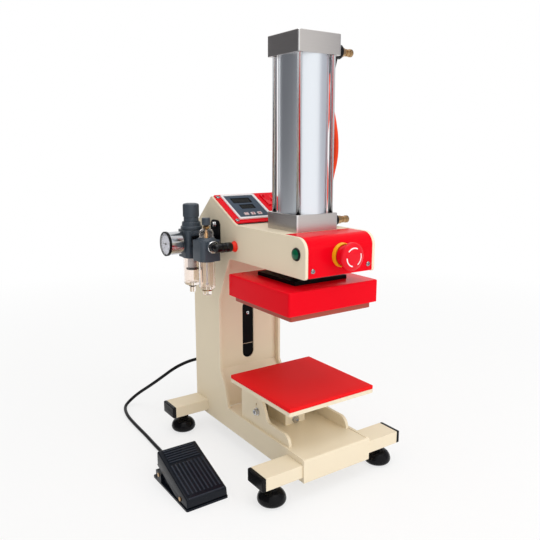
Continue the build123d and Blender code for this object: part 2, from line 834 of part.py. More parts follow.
with BuildPart() as stop_mushroom:
    with BuildSketch(Plane.YZ):
        with BuildLine():
            rim_y = mushroom_back_y - stop_cap_edge
            crown_y = rim_y - stop_crown
            rise = up(stop_height)
            Polyline((crown_y, rise), (neck_back_y, rise), (neck_back_y, rise + stop_neck_radius),
                     (mushroom_back_y, rise + stop_neck_radius),
                     (mushroom_back_y, rise + stop_cap_radius - 1.0),
                     (mushroom_back_y - 1.0, rise + stop_cap_radius), (rim_y, rise + stop_cap_radius))
            ThreePointArc((rim_y, rise + stop_cap_radius),
                          (rim_y - stop_crown * 0.72, rise + stop_cap_radius * 0.78),
                          (crown_y, rise + stop_cap_radius * 0.45))
            Line((crown_y, rise + stop_cap_radius * 0.45), (crown_y, rise))
        make_face()
    revolve(axis=Axis((0, 0, up(stop_height)), Y))
    bar((0, neck_back_y + 1, up(stop_height)), FRONT, neck_back_y + 1 - stem_front_y + running_gap,
        stop_stem_radius + running_gap, Mode.SUBTRACT)
keep(stop_mushroom, "stop_mushroom")

# Start button on the left side: a green cap that slides in a dark bezel's barrel
start_spot = (-half_width, start_y, up(start_height))
cap_inner_end = -half_width + start_barrel_length - start_travel - button_gap - start_barrel_floor
with BuildPart() as start_bezel:
    bar(start_spot, LEFT, start_bezel_thickness, start_bezel_radius, end_radius=start_bezel_radius - 1.2)
    bar(start_spot, X, start_barrel_length, start_cap_radius + start_barrel_wall)
    bar((-half_width - start_bezel_thickness - 1, start_y, up(start_height)), X,
        start_bezel_thickness + 1 + start_barrel_length - start_barrel_floor,
        start_cap_radius + running_gap, Mode.SUBTRACT)
keep(start_bezel, "start_bezel")

with BuildPart() as start_button:
    cap_face_x = -half_width - start_cap_proud
    bar((cap_inner_end, start_y, up(start_height)), LEFT, cap_inner_end - cap_face_x, start_cap_radius)
    fillet(start_button.edges().sort_by(Axis.X)[:1], radius=2.0)
keep(start_button, "start_button")

# Cylinder caps, barrel, tie rods, piston and rod
lower_cap_top = arm_top + lower_cap_height
barrel_top = lower_cap_top + barrel_length
upper_cap_top = barrel_top + upper_cap_height
valve_height = {"lower": arm_top + valve_rise["lower"], "upper": barrel_top + valve_rise["upper"]}
cap_half = cap_side / 2
tie_places = [(x, y) for x in (-tie_rod_place, tie_rod_place) for y in (-tie_rod_place, tie_rod_place)]
with BuildPart() as cylinder_lower_cap:
    block(-cap_half, cap_half, -cap_half, cap_half, up(arm_top), up(lower_cap_top))
    fillet(cylinder_lower_cap.edges().filter_by(Axis.Z), radius=cap_corner)
    chamfer(cylinder_lower_cap.faces().sort_by(Axis.Z)[-1].edges(), length=0.8)
    bar_z(rod_radius + running_gap, up(arm_top - 1), up(lower_cap_top + 1), mode=Mode.SUBTRACT)
    for x, y in tie_places:
        bar_z(tie_rod_radius + hole_gap, up(arm_top - 1), up(lower_cap_top + 1), x, y, Mode.SUBTRACT)
    bar((cap_half + 1, 0, up(valve_height["lower"])), LEFT, valve_stem_length + 1 + button_gap,
        valve_stem_radius + 0.1, Mode.SUBTRACT)
keep(cylinder_lower_cap, "cylinder_lower_cap")

with BuildPart() as cylinder_barrel:
    bar_z(barrel_radius, up(lower_cap_top), up(barrel_top))
    bar_z(bore_radius, up(lower_cap_top - 1), up(barrel_top + 1), mode=Mode.SUBTRACT)
keep(cylinder_barrel, "cylinder_barrel")

with BuildPart() as cylinder_upper_cap:
    block(-cap_half, cap_half, -cap_half, cap_half, up(barrel_top), up(upper_cap_top))
    fillet(cylinder_upper_cap.edges().filter_by(Axis.Z), radius=cap_corner)
    chamfer(cylinder_upper_cap.faces().sort_by(Axis.Z)[-1].edges(), length=0.8)
    for x, y in tie_places:
        bar_z(tie_rod_radius + hole_gap, up(barrel_top - 1), up(upper_cap_top + 1), x, y, Mode.SUBTRACT)
        bar_z(tie_head_radius + hole_gap, up(upper_cap_top - tie_head_height), up(upper_cap_top + 1),
              x, y, Mode.SUBTRACT)
    bar((cap_half + 1, 0, up(valve_height["upper"])), LEFT, valve_stem_length + 1 + button_gap,
        valve_stem_radius + 0.1, Mode.SUBTRACT)
keep(cylinder_upper_cap, "cylinder_upper_cap")

with BuildPart() as tie_rods:
    for x, y in tie_places:
        bar_z(tie_rod_radius, up(arm_top), up(upper_cap_top - tie_head_height), x, y)
        bar_z(tie_head_radius, up(upper_cap_top - tie_head_height), up(upper_cap_top), x, y)
        with BuildSketch(Plane.XY.offset(up(upper_cap_top))):
            with Locations((x, y)):
                RegularPolygon(tie_head_radius * 0.5, 6)
        extrude(amount=-tie_head_height * 0.6, mode=Mode.SUBTRACT)
keep(tie_rods, "tie_rods")

piston_top = barrel_top - piston_top_gap
piston_bottom = piston_top - piston_height
heater_bottom = pad_top_height + closed_gap + stroke + hot_plate_drop
heater_top = heater_bottom + heater_height
flange_top = heater_top + flange_thickness
rod_bottom = flange_top - rod_seat_depth
with BuildPart() as piston:
    bar_z(bore_radius - running_gap, up(piston_bottom), up(piston_top))
    for groove in (0.25, 0.75):
        low = piston_bottom + piston_height * groove - seal_groove_width / 2
        bar_z(bore_radius + 1, up(low), up(low + seal_groove_width), mode=Mode.SUBTRACT)
        bar_z(bore_radius - seal_groove_depth, up(low), up(low + seal_groove_width))
keep(piston, "piston")

with BuildPart() as piston_rod:
    bar_z(rod_radius, up(rod_bottom), up(piston_bottom))
keep(piston_rod, "piston_rod")

# Speed valves: black banjo bodies screwed into the caps' right faces, with a metal cone on the outer end.
# The upper one's outlet points down and a little back, the lower one's straight back.
with BuildPart() as speed_valves:
    for which, height in valve_height.items():
        z = up(height)
        bar((cap_half - valve_stem_length, 0, z), X, valve_stem_length, valve_stem_radius)
        with BuildSketch(Plane.YZ.offset(cap_half)):
            with Locations((0, z)):
                RegularPolygon(valve_hex_radius, 6)
        extrude(amount=valve_hex_end - cap_half)
        bar((valve_hex_end, 0, z), X, valve_body_end - valve_hex_end, valve_body_radius[which])
        bar((valve_body_end, 0, z), X, valve_cone_end - valve_body_end, valve_body_radius[which] - 1.0,
            end_radius=valve_cone_radius)
    bar((upper_port_x, 0, up(valve_height["upper"])), (0, upper_port_y, -upper_port_drop),
        hypot(upper_port_y, upper_port_drop), upper_port_radius)
    bar((lower_port_x, 0, up(valve_height["lower"])), Y, lower_port_y, lower_port_radius)
    for height in valve_height.values():
        bar((valve_cone_end + 1, 0, up(height)), LEFT, 1 + needle_depth + button_gap,
            needle_radius + running_gap, Mode.SUBTRACT)
keep(speed_valves, "speed_valves")

for which, height in valve_height.items():
    with BuildPart() as speed_screw:
        z = up(height)
        bar((valve_cone_end - needle_depth, 0, z), X, needle_depth + 1.0, needle_radius)
        bar((valve_cone_end + needle_neck_gap, 0, z), X, needle_neck_end - valve_cone_end - needle_neck_gap,
            needle_neck_radius)
        bar((needle_neck_end, 0, z), X, needle_knob_end - needle_neck_end, needle_knob_radius)
        chamfer(speed_screw.edges().filter_by(GeomType.CIRCLE).sort_by(Axis.X)[-1:], length=1.0)
    keep(speed_screw, f"speed_screw_{which}")


def tube_radii(points, name):
    """Radii of the arcs between a tube's runs: 0.45 of the shorter run over the tangent of half the turn."""
    places = [Vector(*point) for point in points]
    runs = [b - a for a, b in zip(places, places[1:])]
    radii = []
    for a, b in zip(runs, runs[1:]):
        turn = radians(a.get_angle(b))
        radii.append(0.45 * min(a.length, b.length) / tan(turn / 2))
    print(name, "arc radii", [round(value, 1) for value in radii],
          "length of runs", round(sum(run.length for run in runs), 1))
    return radii


def tube(name, points, radius):
    """Builds one round tube along straight runs joined by tangent arcs."""
    with BuildPart() as builder:
        with BuildLine() as route:
            FilletPolyline(*points, radius=tube_radii(points, name))
        start = Plane(origin=route.wire() @ 0, z_dir=route.wire() % 0)
        with BuildSketch(start):
            Circle(radius)
        sweep(path=route.wire())
    length = route.wire().length
    expected = pi * radius ** 2 * length
    print(name, "length", round(length, 1), "volume over section times length",
          round(builder.part.volume / expected, 4))
    keep(builder, name)


tube("air_tube_upper", [(x, y, up(height)) for x, y, height in upper_hose_route], hose_radius)
tube("air_tube_lower", [(x, y, up(height)) for x, y, height in lower_hose_route], hose_radius)

# Ram flange, heater cover and heated plate
with BuildPart() as press_flange:
    half = flange_side / 2
    block(-half, half, -half, half, up(heater_top), up(flange_top))
    bar_z(flange_boss_radius, up(flange_top), up(flange_top + flange_boss_height))
    bar_z(rod_radius, up(rod_bottom), up(flange_top + flange_boss_height + 1), mode=Mode.SUBTRACT)
keep(press_flange, "press_flange")

with BuildPart() as heater_cover:
    hx = heater_width / 2
    hy = heater_depth / 2
    block(-hx, hx, -hy, hy, up(heater_bottom), up(heater_top))
    fillet(heater_cover.edges().filter_by(Axis.Z), radius=heater_corner)
    fillet(heater_cover.faces().sort_by(Axis.Z)[-1].edges(), radius=heater_edge)
    block(-hx + heater_wall, hx - heater_wall, -hy + heater_wall, hy - heater_wall,
          up(heater_bottom - 1), up(heater_top - heater_wall), Mode.SUBTRACT)
keep(heater_cover, "heater_cover")

with BuildPart() as heating_plate:
    half = hot_plate_side / 2
    hot_bottom = heater_bottom - hot_plate_drop
    block(-half, half, -half, half, up(hot_bottom), up(hot_bottom + hot_plate_thickness))
    fillet(heating_plate.edges().filter_by(Axis.Z), radius=heater_corner)
    for x in (-hot_boss_place, hot_boss_place):
        for y in (-hot_boss_place, hot_boss_place):
            bar_z(hot_boss_radius, up(hot_bottom + hot_plate_thickness), up(heater_top - heater_wall), x, y)
keep(heating_plate, "heating_plate")

# Table: rubber pad, steel plate on a square post, the cradle's two cheeks and the clamp bolts
pad_bottom = pad_top_height - pad_thickness
table_bottom = pad_bottom - table_thickness
pad_x = pad_width / 2
pad_y = pad_depth / 2
with BuildPart() as press_pad:
    block(-pad_x, pad_x, -pad_y, pad_y, up(pad_bottom), 0)
    fillet(press_pad.edges().filter_by(Axis.Z), radius=pad_corner)
keep(press_pad, "press_pad")

post_half = post_width / 2
with BuildPart() as table_plate:
    block(-pad_x, pad_x, -pad_y, pad_y, up(table_bottom), up(pad_bottom))
    fillet(table_plate.edges().filter_by(Axis.Z), radius=pad_corner)
    block(-post_half, post_half, post_front_y, post_back_y, up(deck_top), up(table_bottom))
    block(-post_half + post_wall, post_half - post_wall, post_front_y + post_wall, post_back_y - post_wall,
          up(deck_top - 1), up(table_bottom), Mode.SUBTRACT)
    bar((0, post_front_y - 1, up(front_bolt_height)), Y, front_bolt_grip + 1, clamp_bolt_radius,
        Mode.SUBTRACT)
keep(table_plate, "table_plate")

cheek_outline = [
    (cheek_nose_y, up(deck_top)),
    (cheek_nose_y, up(cheek_low_top)),
    (cheek_tall_y, up(cheek_low_top)),
    (cheek_tall_y + cheek_tall_step, up(table_bottom)),
    (cheek_back_y, up(table_bottom)),
    (cheek_back_y, up(deck_top)),
]
cheek_radii = [0, cheek_nose_radius, cheek_inner_radius, cheek_top_radius, 0, 0]
with BuildPart() as table_cradle:
    for x in (-inner_half, inner_half - cheek_thickness):
        with BuildSketch(Plane.YZ.offset(x)):
            with BuildLine():
                FilletPolyline(*cheek_outline, radius=cheek_radii, close=True)
            make_face()
            with Locations((side_bolt_y, up(side_bolt_height))):
                Circle(clamp_bolt_radius + 0.1, mode=Mode.SUBTRACT)
            with Locations((side_bolt_y + cheek_hole_step, up(side_bolt_height + cheek_hole_rise))):
                Circle(cheek_hole_radius, mode=Mode.SUBTRACT)
        extrude(amount=cheek_thickness)
    block(-inner_half + cheek_thickness, inner_half - cheek_thickness,
          cheek_back_y - cheek_thickness, cheek_back_y, up(deck_top), up(table_bottom))
keep(table_cradle, "table_cradle")


def clamp_bolt(seat, outward, grip):
    """Adds a socket-headed bolt with its washer: seat on the clamped face, shank going in by its grip."""
    inward = tuple(-value for value in outward)
    bar(seat, outward, clamp_washer_thickness, clamp_washer_radius)
    head_seat = tuple(a + b * clamp_washer_thickness for a, b in zip(seat, outward))
    bar(head_seat, outward, clamp_head_height, clamp_head_radius)
    bar(seat, inward, grip, clamp_bolt_radius)
    socket_start = tuple(a + b * clamp_head_height for a, b in zip(head_seat, outward))
    bar(socket_start, inward, clamp_head_height * 0.5, clamp_head_radius * 0.5, Mode.SUBTRACT)


with BuildPart() as clamp_bolts:
    clamp_bolt((-inner_half, side_bolt_y, up(side_bolt_height)), LEFT, inner_half - post_half)
    clamp_bolt((0, post_front_y, up(front_bolt_height)), FRONT, front_bolt_grip)
keep(clamp_bolts, "clamp_bolts")

# Air unit: regulator with filter bowl behind, oiler in front, on a T bracket
regulator_low = air_height + regulator_low_from_port
regulator_high = air_height + regulator_high_from_port
regulator_knob_top = air_height + regulator_knob_top_from_port
oiler_low = air_height + oiler_low_from_port
oiler_high = air_height + oiler_high_from_port
oiler_shoulder_top = air_height + oiler_shoulder_top_from_port
sight_top = air_height + sight_top_from_port
oiler_neck_top = air_height + oiler_neck_top_from_port
oiler_knob_top = air_height + oiler_knob_top_from_port
filter_bowl_bottom = air_height + filter_bowl_bottom_from_port
filter_drain_bottom = air_height + filter_drain_bottom_from_port
oiler_bowl_bottom = air_height + oiler_bowl_bottom_from_port
oiler_drain_bottom = air_height + oiler_drain_bottom_from_port
bracket_low = air_height + bracket_low_from_port
bracket_high = air_height + bracket_high_from_port
bracket_arm_low = air_height + bracket_arm_low_from_port
bracket_arm_high = air_height + bracket_arm_high_from_port
bracket_hole_height = air_height + bracket_hole_height_from_port
z_air = up(air_height)
body_half = air_body_side / 2
bracket_y = (regulator_y + oiler_y) / 2
with BuildPart() as regulator_body:
    block(air_x - body_half, air_x + body_half, regulator_y - body_half, regulator_y + body_half,
          up(regulator_low), up(regulator_high))
    fillet(regulator_body.edges().filter_by(Axis.Z), radius=air_body_corner)
    bar_z(regulator_collar_radius, up(regulator_high), up(regulator_high + regulator_collar_height),
          air_x, regulator_y)
    bonnet_low = regulator_high + regulator_collar_height
    bar_z(bonnet_radius, up(bonnet_low), up(bonnet_low + bonnet_height), air_x, regulator_y)
    bar((air_x, regulator_y + body_half, z_air), Y, port_boss_length, port_boss_radius)
    bar((air_x, regulator_y - body_half, z_air), FRONT,
        regulator_y - body_half - bracket_y - bracket_thickness / 2, port_boss_radius)
    bar((air_x, regulator_y + body_half + port_boss_length + 1, z_air), FRONT, inlet_depth + 1,
        inlet_radius, Mode.SUBTRACT)
keep(regulator_body, "regulator_body")

with BuildPart() as regulator_knob:
    knob_low = bonnet_low + knob_skirt_gap
    bar_z(regulator_knob_radius, up(knob_low), up(regulator_knob_top), air_x, regulator_y)
    fillet(regulator_knob.edges().filter_by(GeomType.CIRCLE).sort_by(Axis.Z)[-1:], radius=2.0)
    bar_z(bonnet_radius + running_gap, up(knob_low - 1), up(bonnet_low + bonnet_height + knob_skirt_gap),
          air_x, regulator_y, Mode.SUBTRACT)
keep(regulator_knob, "regulator_knob")


def bowl(name, y, radius, top, bottom, drain_radius, drain_bottom):
    """Builds one clear bowl: a round cup with a rounded floor and a drain spout."""
    with BuildPart() as builder:
        bar_z(radius, up(bottom), up(top), air_x, y)
        fillet(builder.edges().filter_by(GeomType.CIRCLE).sort_by(Axis.Z)[:1], radius=radius * 0.4)
        bar_z(drain_radius, up(drain_bottom), up(bottom + bowl_floor), air_x, y)
        bar_z(radius - bowl_wall, up(bottom + bowl_floor + radius * 0.2), up(top + 1), air_x, y,
              Mode.SUBTRACT)
        bar_z(drain_hole_radius, up(drain_bottom - 1), up(bottom + radius), air_x, y, Mode.SUBTRACT)
    keep(builder, name)


bowl("filter_bowl", regulator_y, filter_bowl_radius, regulator_low, filter_bowl_bottom, filter_drain_radius,
     filter_drain_bottom)
bowl("lubricator_bowl", oiler_y, oiler_bowl_radius, oiler_low, oiler_bowl_bottom, oiler_drain_radius,
     oiler_drain_bottom)

gauge_back_x = air_x - body_half
case_back_x = gauge_back_x - gauge_stem_length
bezel_back_x = case_back_x - gauge_case_length
gauge_face_x = bezel_back_x - gauge_bezel_length
dial_x = gauge_face_x + gauge_face_depth
with BuildPart() as gauge_case:
    bar((gauge_back_x, regulator_y, z_air), LEFT, gauge_stem_length, gauge_stem_radius)
    bar((case_back_x, regulator_y, z_air), LEFT, gauge_case_length, gauge_radius)
    bar((bezel_back_x, regulator_y, z_air), LEFT, gauge_bezel_length, gauge_bezel_radius)
    bar((dial_x, regulator_y, z_air), LEFT, gauge_face_depth + 1, gauge_bezel_radius - gauge_rim,
        Mode.SUBTRACT)
    bar((dial_x + needle_pin_depth + 0.5, regulator_y, z_air), LEFT, needle_pin_depth + 1,
        needle_pin_radius + running_gap, Mode.SUBTRACT)
keep(gauge_case, "gauge_case")

with BuildPart() as gauge_needle:
    needle_x = dial_x - needle_lift
    bar((dial_x + needle_pin_depth, regulator_y, z_air), LEFT, needle_pin_depth + needle_lift,
        needle_pin_radius)
    bar((needle_x, regulator_y, z_air), LEFT, needle_thickness, needle_pin_radius * 2.2)
    with BuildSketch(Plane(origin=(needle_x, regulator_y, z_air), x_dir=Y, z_dir=LEFT)):
        with Locations(Rotation(0, 0, needle_angle)):
            with BuildLine():
                Polyline((-needle_tail, -0.7), (needle_length, -0.2), (needle_length, 0.2),
                         (-needle_tail, 0.7), close=True)
            make_face()
    extrude(amount=needle_thickness)
keep(gauge_needle, "gauge_needle")

with BuildPart() as lubricator_body:
    block(air_x - body_half, air_x + body_half, oiler_y - body_half, oiler_y + body_half,
          up(oiler_low), up(oiler_high))
    fillet(lubricator_body.edges().filter_by(Axis.Z), radius=air_body_corner)
    bar((air_x, oiler_y, up(oiler_high)), (0, 0, 1), oiler_shoulder_top - oiler_high,
        oiler_shoulder_low_radius, end_radius=oiler_shoulder_high_radius)
    bar_z(sight_radius, up(oiler_shoulder_top), up(sight_top), air_x, oiler_y)
    bar_z(oiler_neck_radius, up(sight_top), up(oiler_neck_top), air_x, oiler_y)
    bar((air_x, oiler_y - body_half, z_air), FRONT, port_boss_length, port_boss_radius)
    bar((air_x, oiler_y + body_half, z_air), Y,
        bracket_y - bracket_thickness / 2 - oiler_y - body_half, port_boss_radius)
    bar_z(oiler_screw_radius + running_gap, up(oiler_neck_top - oiler_screw_depth - 0.5),
          up(oiler_neck_top + 1), air_x, oiler_y, Mode.SUBTRACT)
keep(lubricator_body, "lubricator_body")

with BuildPart() as lubricator_knob:
    bar_z(oiler_screw_radius, up(oiler_neck_top - oiler_screw_depth), up(oiler_neck_top + 1), air_x, oiler_y)
    bar_z(oiler_knob_radius, up(oiler_neck_top + 0.3), up(oiler_knob_top), air_x, oiler_y)
    fillet(lubricator_knob.edges().filter_by(GeomType.CIRCLE).sort_by(Axis.Z)[-1:], radius=1.0)
keep(lubricator_knob, "lubricator_knob")

with BuildPart() as air_bracket:
    block(-half_width - bracket_thickness, -half_width, bracket_y - bracket_half_width,
          bracket_y + bracket_half_width, up(bracket_low), up(bracket_high))
    fillet(air_bracket.edges().filter_by(Axis.X).group_by(Axis.Z)[-1], radius=bracket_corner)
    block(bracket_arm_end, -half_width - bracket_thickness, bracket_y - bracket_thickness / 2,
          bracket_y + bracket_thickness / 2, up(bracket_arm_low), up(bracket_arm_high))
    bar((-half_width - bracket_thickness - 1, bracket_y, up(bracket_hole_height)), X, bracket_thickness + 2,
        bracket_hole_radius, Mode.SUBTRACT)
keep(air_bracket, "air_bracket")

# Outlet elbow: from the oiler's front port forward, then right into the side plate
with BuildPart() as outlet_elbow:
    port_face_y = oiler_y - body_half - port_boss_length
    elbow_y = oiler_y - body_half - elbow_front
    bar((air_x, port_face_y, z_air), FRONT, port_face_y - elbow_y, elbow_radius)
    with Locations((air_x, elbow_y, z_air)):
        Sphere(elbow_radius)
    bar((air_x, elbow_y, z_air), X, -half_width - collar_length - air_x, elbow_radius)
    bar((-half_width - collar_length, elbow_y, z_air), X, collar_length, collar_radius)
    bar((-half_width, elbow_y, z_air), X, elbow_stem_length, elbow_stem_radius)
keep(outlet_elbow, "outlet_elbow")

# Mains inlet: a flanged socket with three pins
with BuildPart() as mains_inlet:
    z_inlet = up(inlet_height)
    sx = socket_width / 2
    sz = socket_height / 2
    block(inlet_x - inlet_flange_width / 2, inlet_x + inlet_flange_width / 2,
          back_face_y, back_face_y + inlet_flange_thickness,
          z_inlet - inlet_flange_height / 2, z_inlet + inlet_flange_height / 2)
    floor_y = back_face_y + inlet_flange_thickness - socket_depth
    block(inlet_x - sx - socket_wall, inlet_x + sx + socket_wall, floor_y - socket_wall, back_face_y,
          z_inlet - sz - socket_wall, z_inlet + sz + socket_wall)
    block(inlet_x - sx, inlet_x + sx, floor_y, back_face_y + inlet_flange_thickness + 1,
          z_inlet - sz, z_inlet + sz, Mode.SUBTRACT)
    for x, rise in ((-socket_pin_pitch, -2.0), (0, 2.0), (socket_pin_pitch, -2.0)):
        block(inlet_x + x - socket_pin_thickness / 2, inlet_x + x + socket_pin_thickness / 2,
              floor_y - 0.5, floor_y + socket_pin_length,
              z_inlet + rise - socket_pin_width / 2, z_inlet + rise + socket_pin_width / 2)
keep(mains_inlet, "mains_inlet")

# Cable gland on the back panel
gland_face_y = back_face_y + gland_nut_length + gland_dome_length
with BuildPart() as cable_gland:
    with BuildSketch(Plane(origin=(gland_x, back_face_y, up(gland_height)), x_dir=X, z_dir=Y)):
        RegularPolygon(gland_nut_radius, 6)
    extrude(amount=gland_nut_length)
    bar((gland_x, back_face_y + gland_nut_length, up(gland_height)), Y, gland_dome_length,
        gland_dome_radius + 1.0, end_radius=gland_dome_radius - 1.5)
    bar((gland_x, back_face_y, up(gland_height)), FRONT, gland_thread_length, gland_thread_radius)
keep(cable_gland, "cable_gland")

# Pedal cable
cable_route = [
    (gland_x, gland_face_y, gland_height),
    (gland_x, gland_face_y + cable_straight_exit, gland_height),
    (-56.0, 279.0, 102.0),
    (-83.0, 290.0, 90.0),
    (-103.5, 307.0, 69.0),
    (-119.0, 331.0, 47.0),
    (-133.0, 357.0, 26.0),
    (-147.0, 371.0, 8.0),
    (-163.0, 358.0, cable_rest_height),
    (-173.0, 318.0, cable_rest_height),
    (-175.0, 271.0, cable_rest_height),
    (-175.3, 222.0, cable_rest_height),
    (-177.0, 180.0, cable_rest_height),
    (-177.5, 150.0, cable_rest_height),
    (-181.0, 127.0, cable_rest_height + 0.8),
    (cable_x, 112.0, cable_end_height),
    (cable_x, cable_end_y, cable_end_height),
]
tube("pedal_cable", [(x, y, up(height)) for x, y, height in cable_route], cable_radius)

# Pedal base: a low tray on a wider sole, with raised lugs at its back corners and a cable spout
pedal_half = pedal_width / 2
tray_half = pedal_half - pedal_skin - pedal_side_gap
tray_front_y = pedal_front_y + pedal_skin + tray_front_gap
with BuildPart() as pedal_base:
    block(pedal_x - pedal_half - sole_overhang, pedal_x + pedal_half + sole_overhang,
          pedal_front_y - sole_overhang, tray_back_y, up(0), up(tray_floor))
    fillet(pedal_base.edges().filter_by(Axis.Z), radius=pedal_round)
    block(pedal_x - tray_half, pedal_x + tray_half, tray_front_y, tray_back_y, up(0), up(tray_height))
    block(pedal_x - tray_half + tray_wall, pedal_x + tray_half - tray_wall,
          tray_front_y + tray_wall, tray_back_y - tray_wall, up(tray_floor), up(tray_height + 1),
          Mode.SUBTRACT)
    for side in (-1, 1):
        inner = pedal_x + side * (tray_half - tray_wall * 2)
        outer = pedal_x + side * (pedal_half + sole_overhang)
        block(min(outer, inner), max(outer, inner), lug_y - lug_half_length, lug_y + lug_half_length,
              up(tray_floor), up(lug_height))
        outer = pedal_x + side * tray_half
        block(min(outer, inner), max(outer, inner), hinge_y - lug_half_length, hinge_y + lug_half_length,
              up(tray_floor), up(hinge_height + hinge_radius + hinge_lug_cover))
    bar((pedal_x - pedal_half, hinge_y, up(hinge_height)), X, pedal_width, hinge_radius, Mode.SUBTRACT)
    bar_z(spring_radius - spring_wire * 2 - spring_post_gap, up(tray_floor),
          up(tray_floor + spring_post_height), pedal_x, spring_y)
    bar((cable_x, tray_back_y - tray_wall, up(cable_end_height)), Y, cable_end_y - tray_back_y + tray_wall,
        cable_radius + cable_spout_wall)
keep(pedal_base, "pedal_base")

# Pedal treadle: a wedge-shaped cover with side skirts, ribbed on top, that turns on a pin near its front
slope = (pedal_back_top - pedal_front_top) / (pedal_back_y - pedal_front_y)
tread_length = hypot(pedal_back_top - pedal_front_top, pedal_back_y - pedal_front_y)
tread_plane = Plane(origin=(pedal_x, pedal_front_y, up(pedal_front_top)), x_dir=X,
                    z_dir=(0, -(pedal_back_top - pedal_front_top) / tread_length,
                           (pedal_back_y - pedal_front_y) / tread_length))
treadle_outline = [
    (pedal_front_y, up(pedal_front_low)),
    (pedal_front_y, up(pedal_front_top)),
    (pedal_back_y, up(pedal_back_top)),
    (pedal_back_y, up(skirt_back_low)),
    (skirt_knee_y, up(skirt_front_low)),
    (hinge_y, up(pedal_front_low)),
]
inside_outline = [
    (pedal_front_y + pedal_skin, up(-5)),
    (pedal_front_y + pedal_skin, up(pedal_front_top) - pedal_skin + slope * pedal_skin),
    (pedal_back_y - pedal_skin, up(pedal_back_top) - pedal_skin - slope * pedal_skin),
    (pedal_back_y - pedal_skin, up(-5)),
]
with BuildPart() as pedal_treadle:
    with BuildSketch(Plane.YZ.offset(pedal_x - pedal_half)):
        with BuildLine():
            FilletPolyline(*treadle_outline, radius=treadle_radii, close=True)
        make_face()
    extrude(amount=pedal_width)
    with BuildSketch(Plane.YZ.offset(pedal_x - pedal_half + pedal_skin)):
        with BuildLine():
            Polyline(*inside_outline, close=True)
        make_face()
    extrude(amount=pedal_width - pedal_skin * 2, mode=Mode.SUBTRACT)
    bar((pedal_x - pedal_half - 1, hinge_y, up(hinge_height)), X, pedal_width + 2,
        hinge_radius + running_gap, Mode.SUBTRACT)
    seat_top = pedal_front_top + (spring_y - pedal_front_y) * slope - pedal_skin
    bar_z(spring_seat_radius, up(spring_top + spring_end_gap), up(seat_top + 1.0), pedal_x, spring_y)
    with BuildPart(tread_plane, mode=Mode.PRIVATE) as ribs:
        for i in range(lateral_rib_count):
            s = lateral_rib_start + lateral_rib_pitch * i
            block(-pedal_half + rib_edge, pedal_half - rib_edge, s - lateral_rib_width / 2,
                  s + lateral_rib_width / 2, -1.0, rib_height)
        pitch = (pedal_width - rib_edge * 2) / (long_rib_count - 1)
        for i in range(long_rib_count):
            x = -pedal_half + rib_edge + pitch * i
            block(x - long_rib_width / 2, x + long_rib_width / 2, long_rib_start, long_rib_end,
                  -1.0, rib_height)
        block(-pedal_half + front_lip_edge, pedal_half - front_lip_edge, front_lip_start, front_lip_end,
              -1.0, rib_height)
    add(ribs.part)
keep(pedal_treadle, "pedal_treadle")

with BuildPart() as pedal_pins:
    bar((pedal_x - pedal_half, hinge_y, up(hinge_height)), X, pedal_width, hinge_radius)
    for side in (-1, 1):
        bar((pedal_x + side * (pedal_half + 0.2), hinge_y, up(hinge_height)), (side, 0, 0),
            pin_head_length, pin_head_radius)
        bar((pedal_x + side * pedal_half, hinge_y, up(hinge_height)), (side, 0, 0), 0.3, hinge_radius)
        bar((pedal_x + side * (pedal_half + sole_overhang), lug_y, up(stop_pin_height)), (side, 0, 0),
            pin_head_length, pin_head_radius)
keep(pedal_pins, "pedal_pins")

# Return spring of the pedal, a coil between the tray and the treadle's seat
with BuildPart() as pedal_spring:
    low = tray_floor + spring_wire
    height = spring_top - tray_floor - spring_wire * 2
    with BuildLine():
        coil = Helix(pitch=height / spring_turns, height=height, radius=spring_radius - spring_wire,
                     center=(pedal_x, spring_y, up(low)))
    with BuildSketch(Plane(origin=coil @ 0, z_dir=coil % 0)):
        Circle(spring_wire)
    sweep(path=coil)
keep(pedal_spring, "pedal_spring")
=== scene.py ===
# %% [markdown]
# # Dressing a pneumatic heat press
# The press comes from CAD as sixty named solids, at their real size and in their real place. Nothing here
# moves them. This lesson gives each of them its finish, softens its edges, and adds what is too fine for the
# solids: the dial's figures, the screws' slots, the flutes of a knob, the insides of the clear bowls.

# %% Load the fixed frame
import json
from math import cos, pi, radians, sin

import bmesh
import bpy
from mathutils import Matrix, Vector

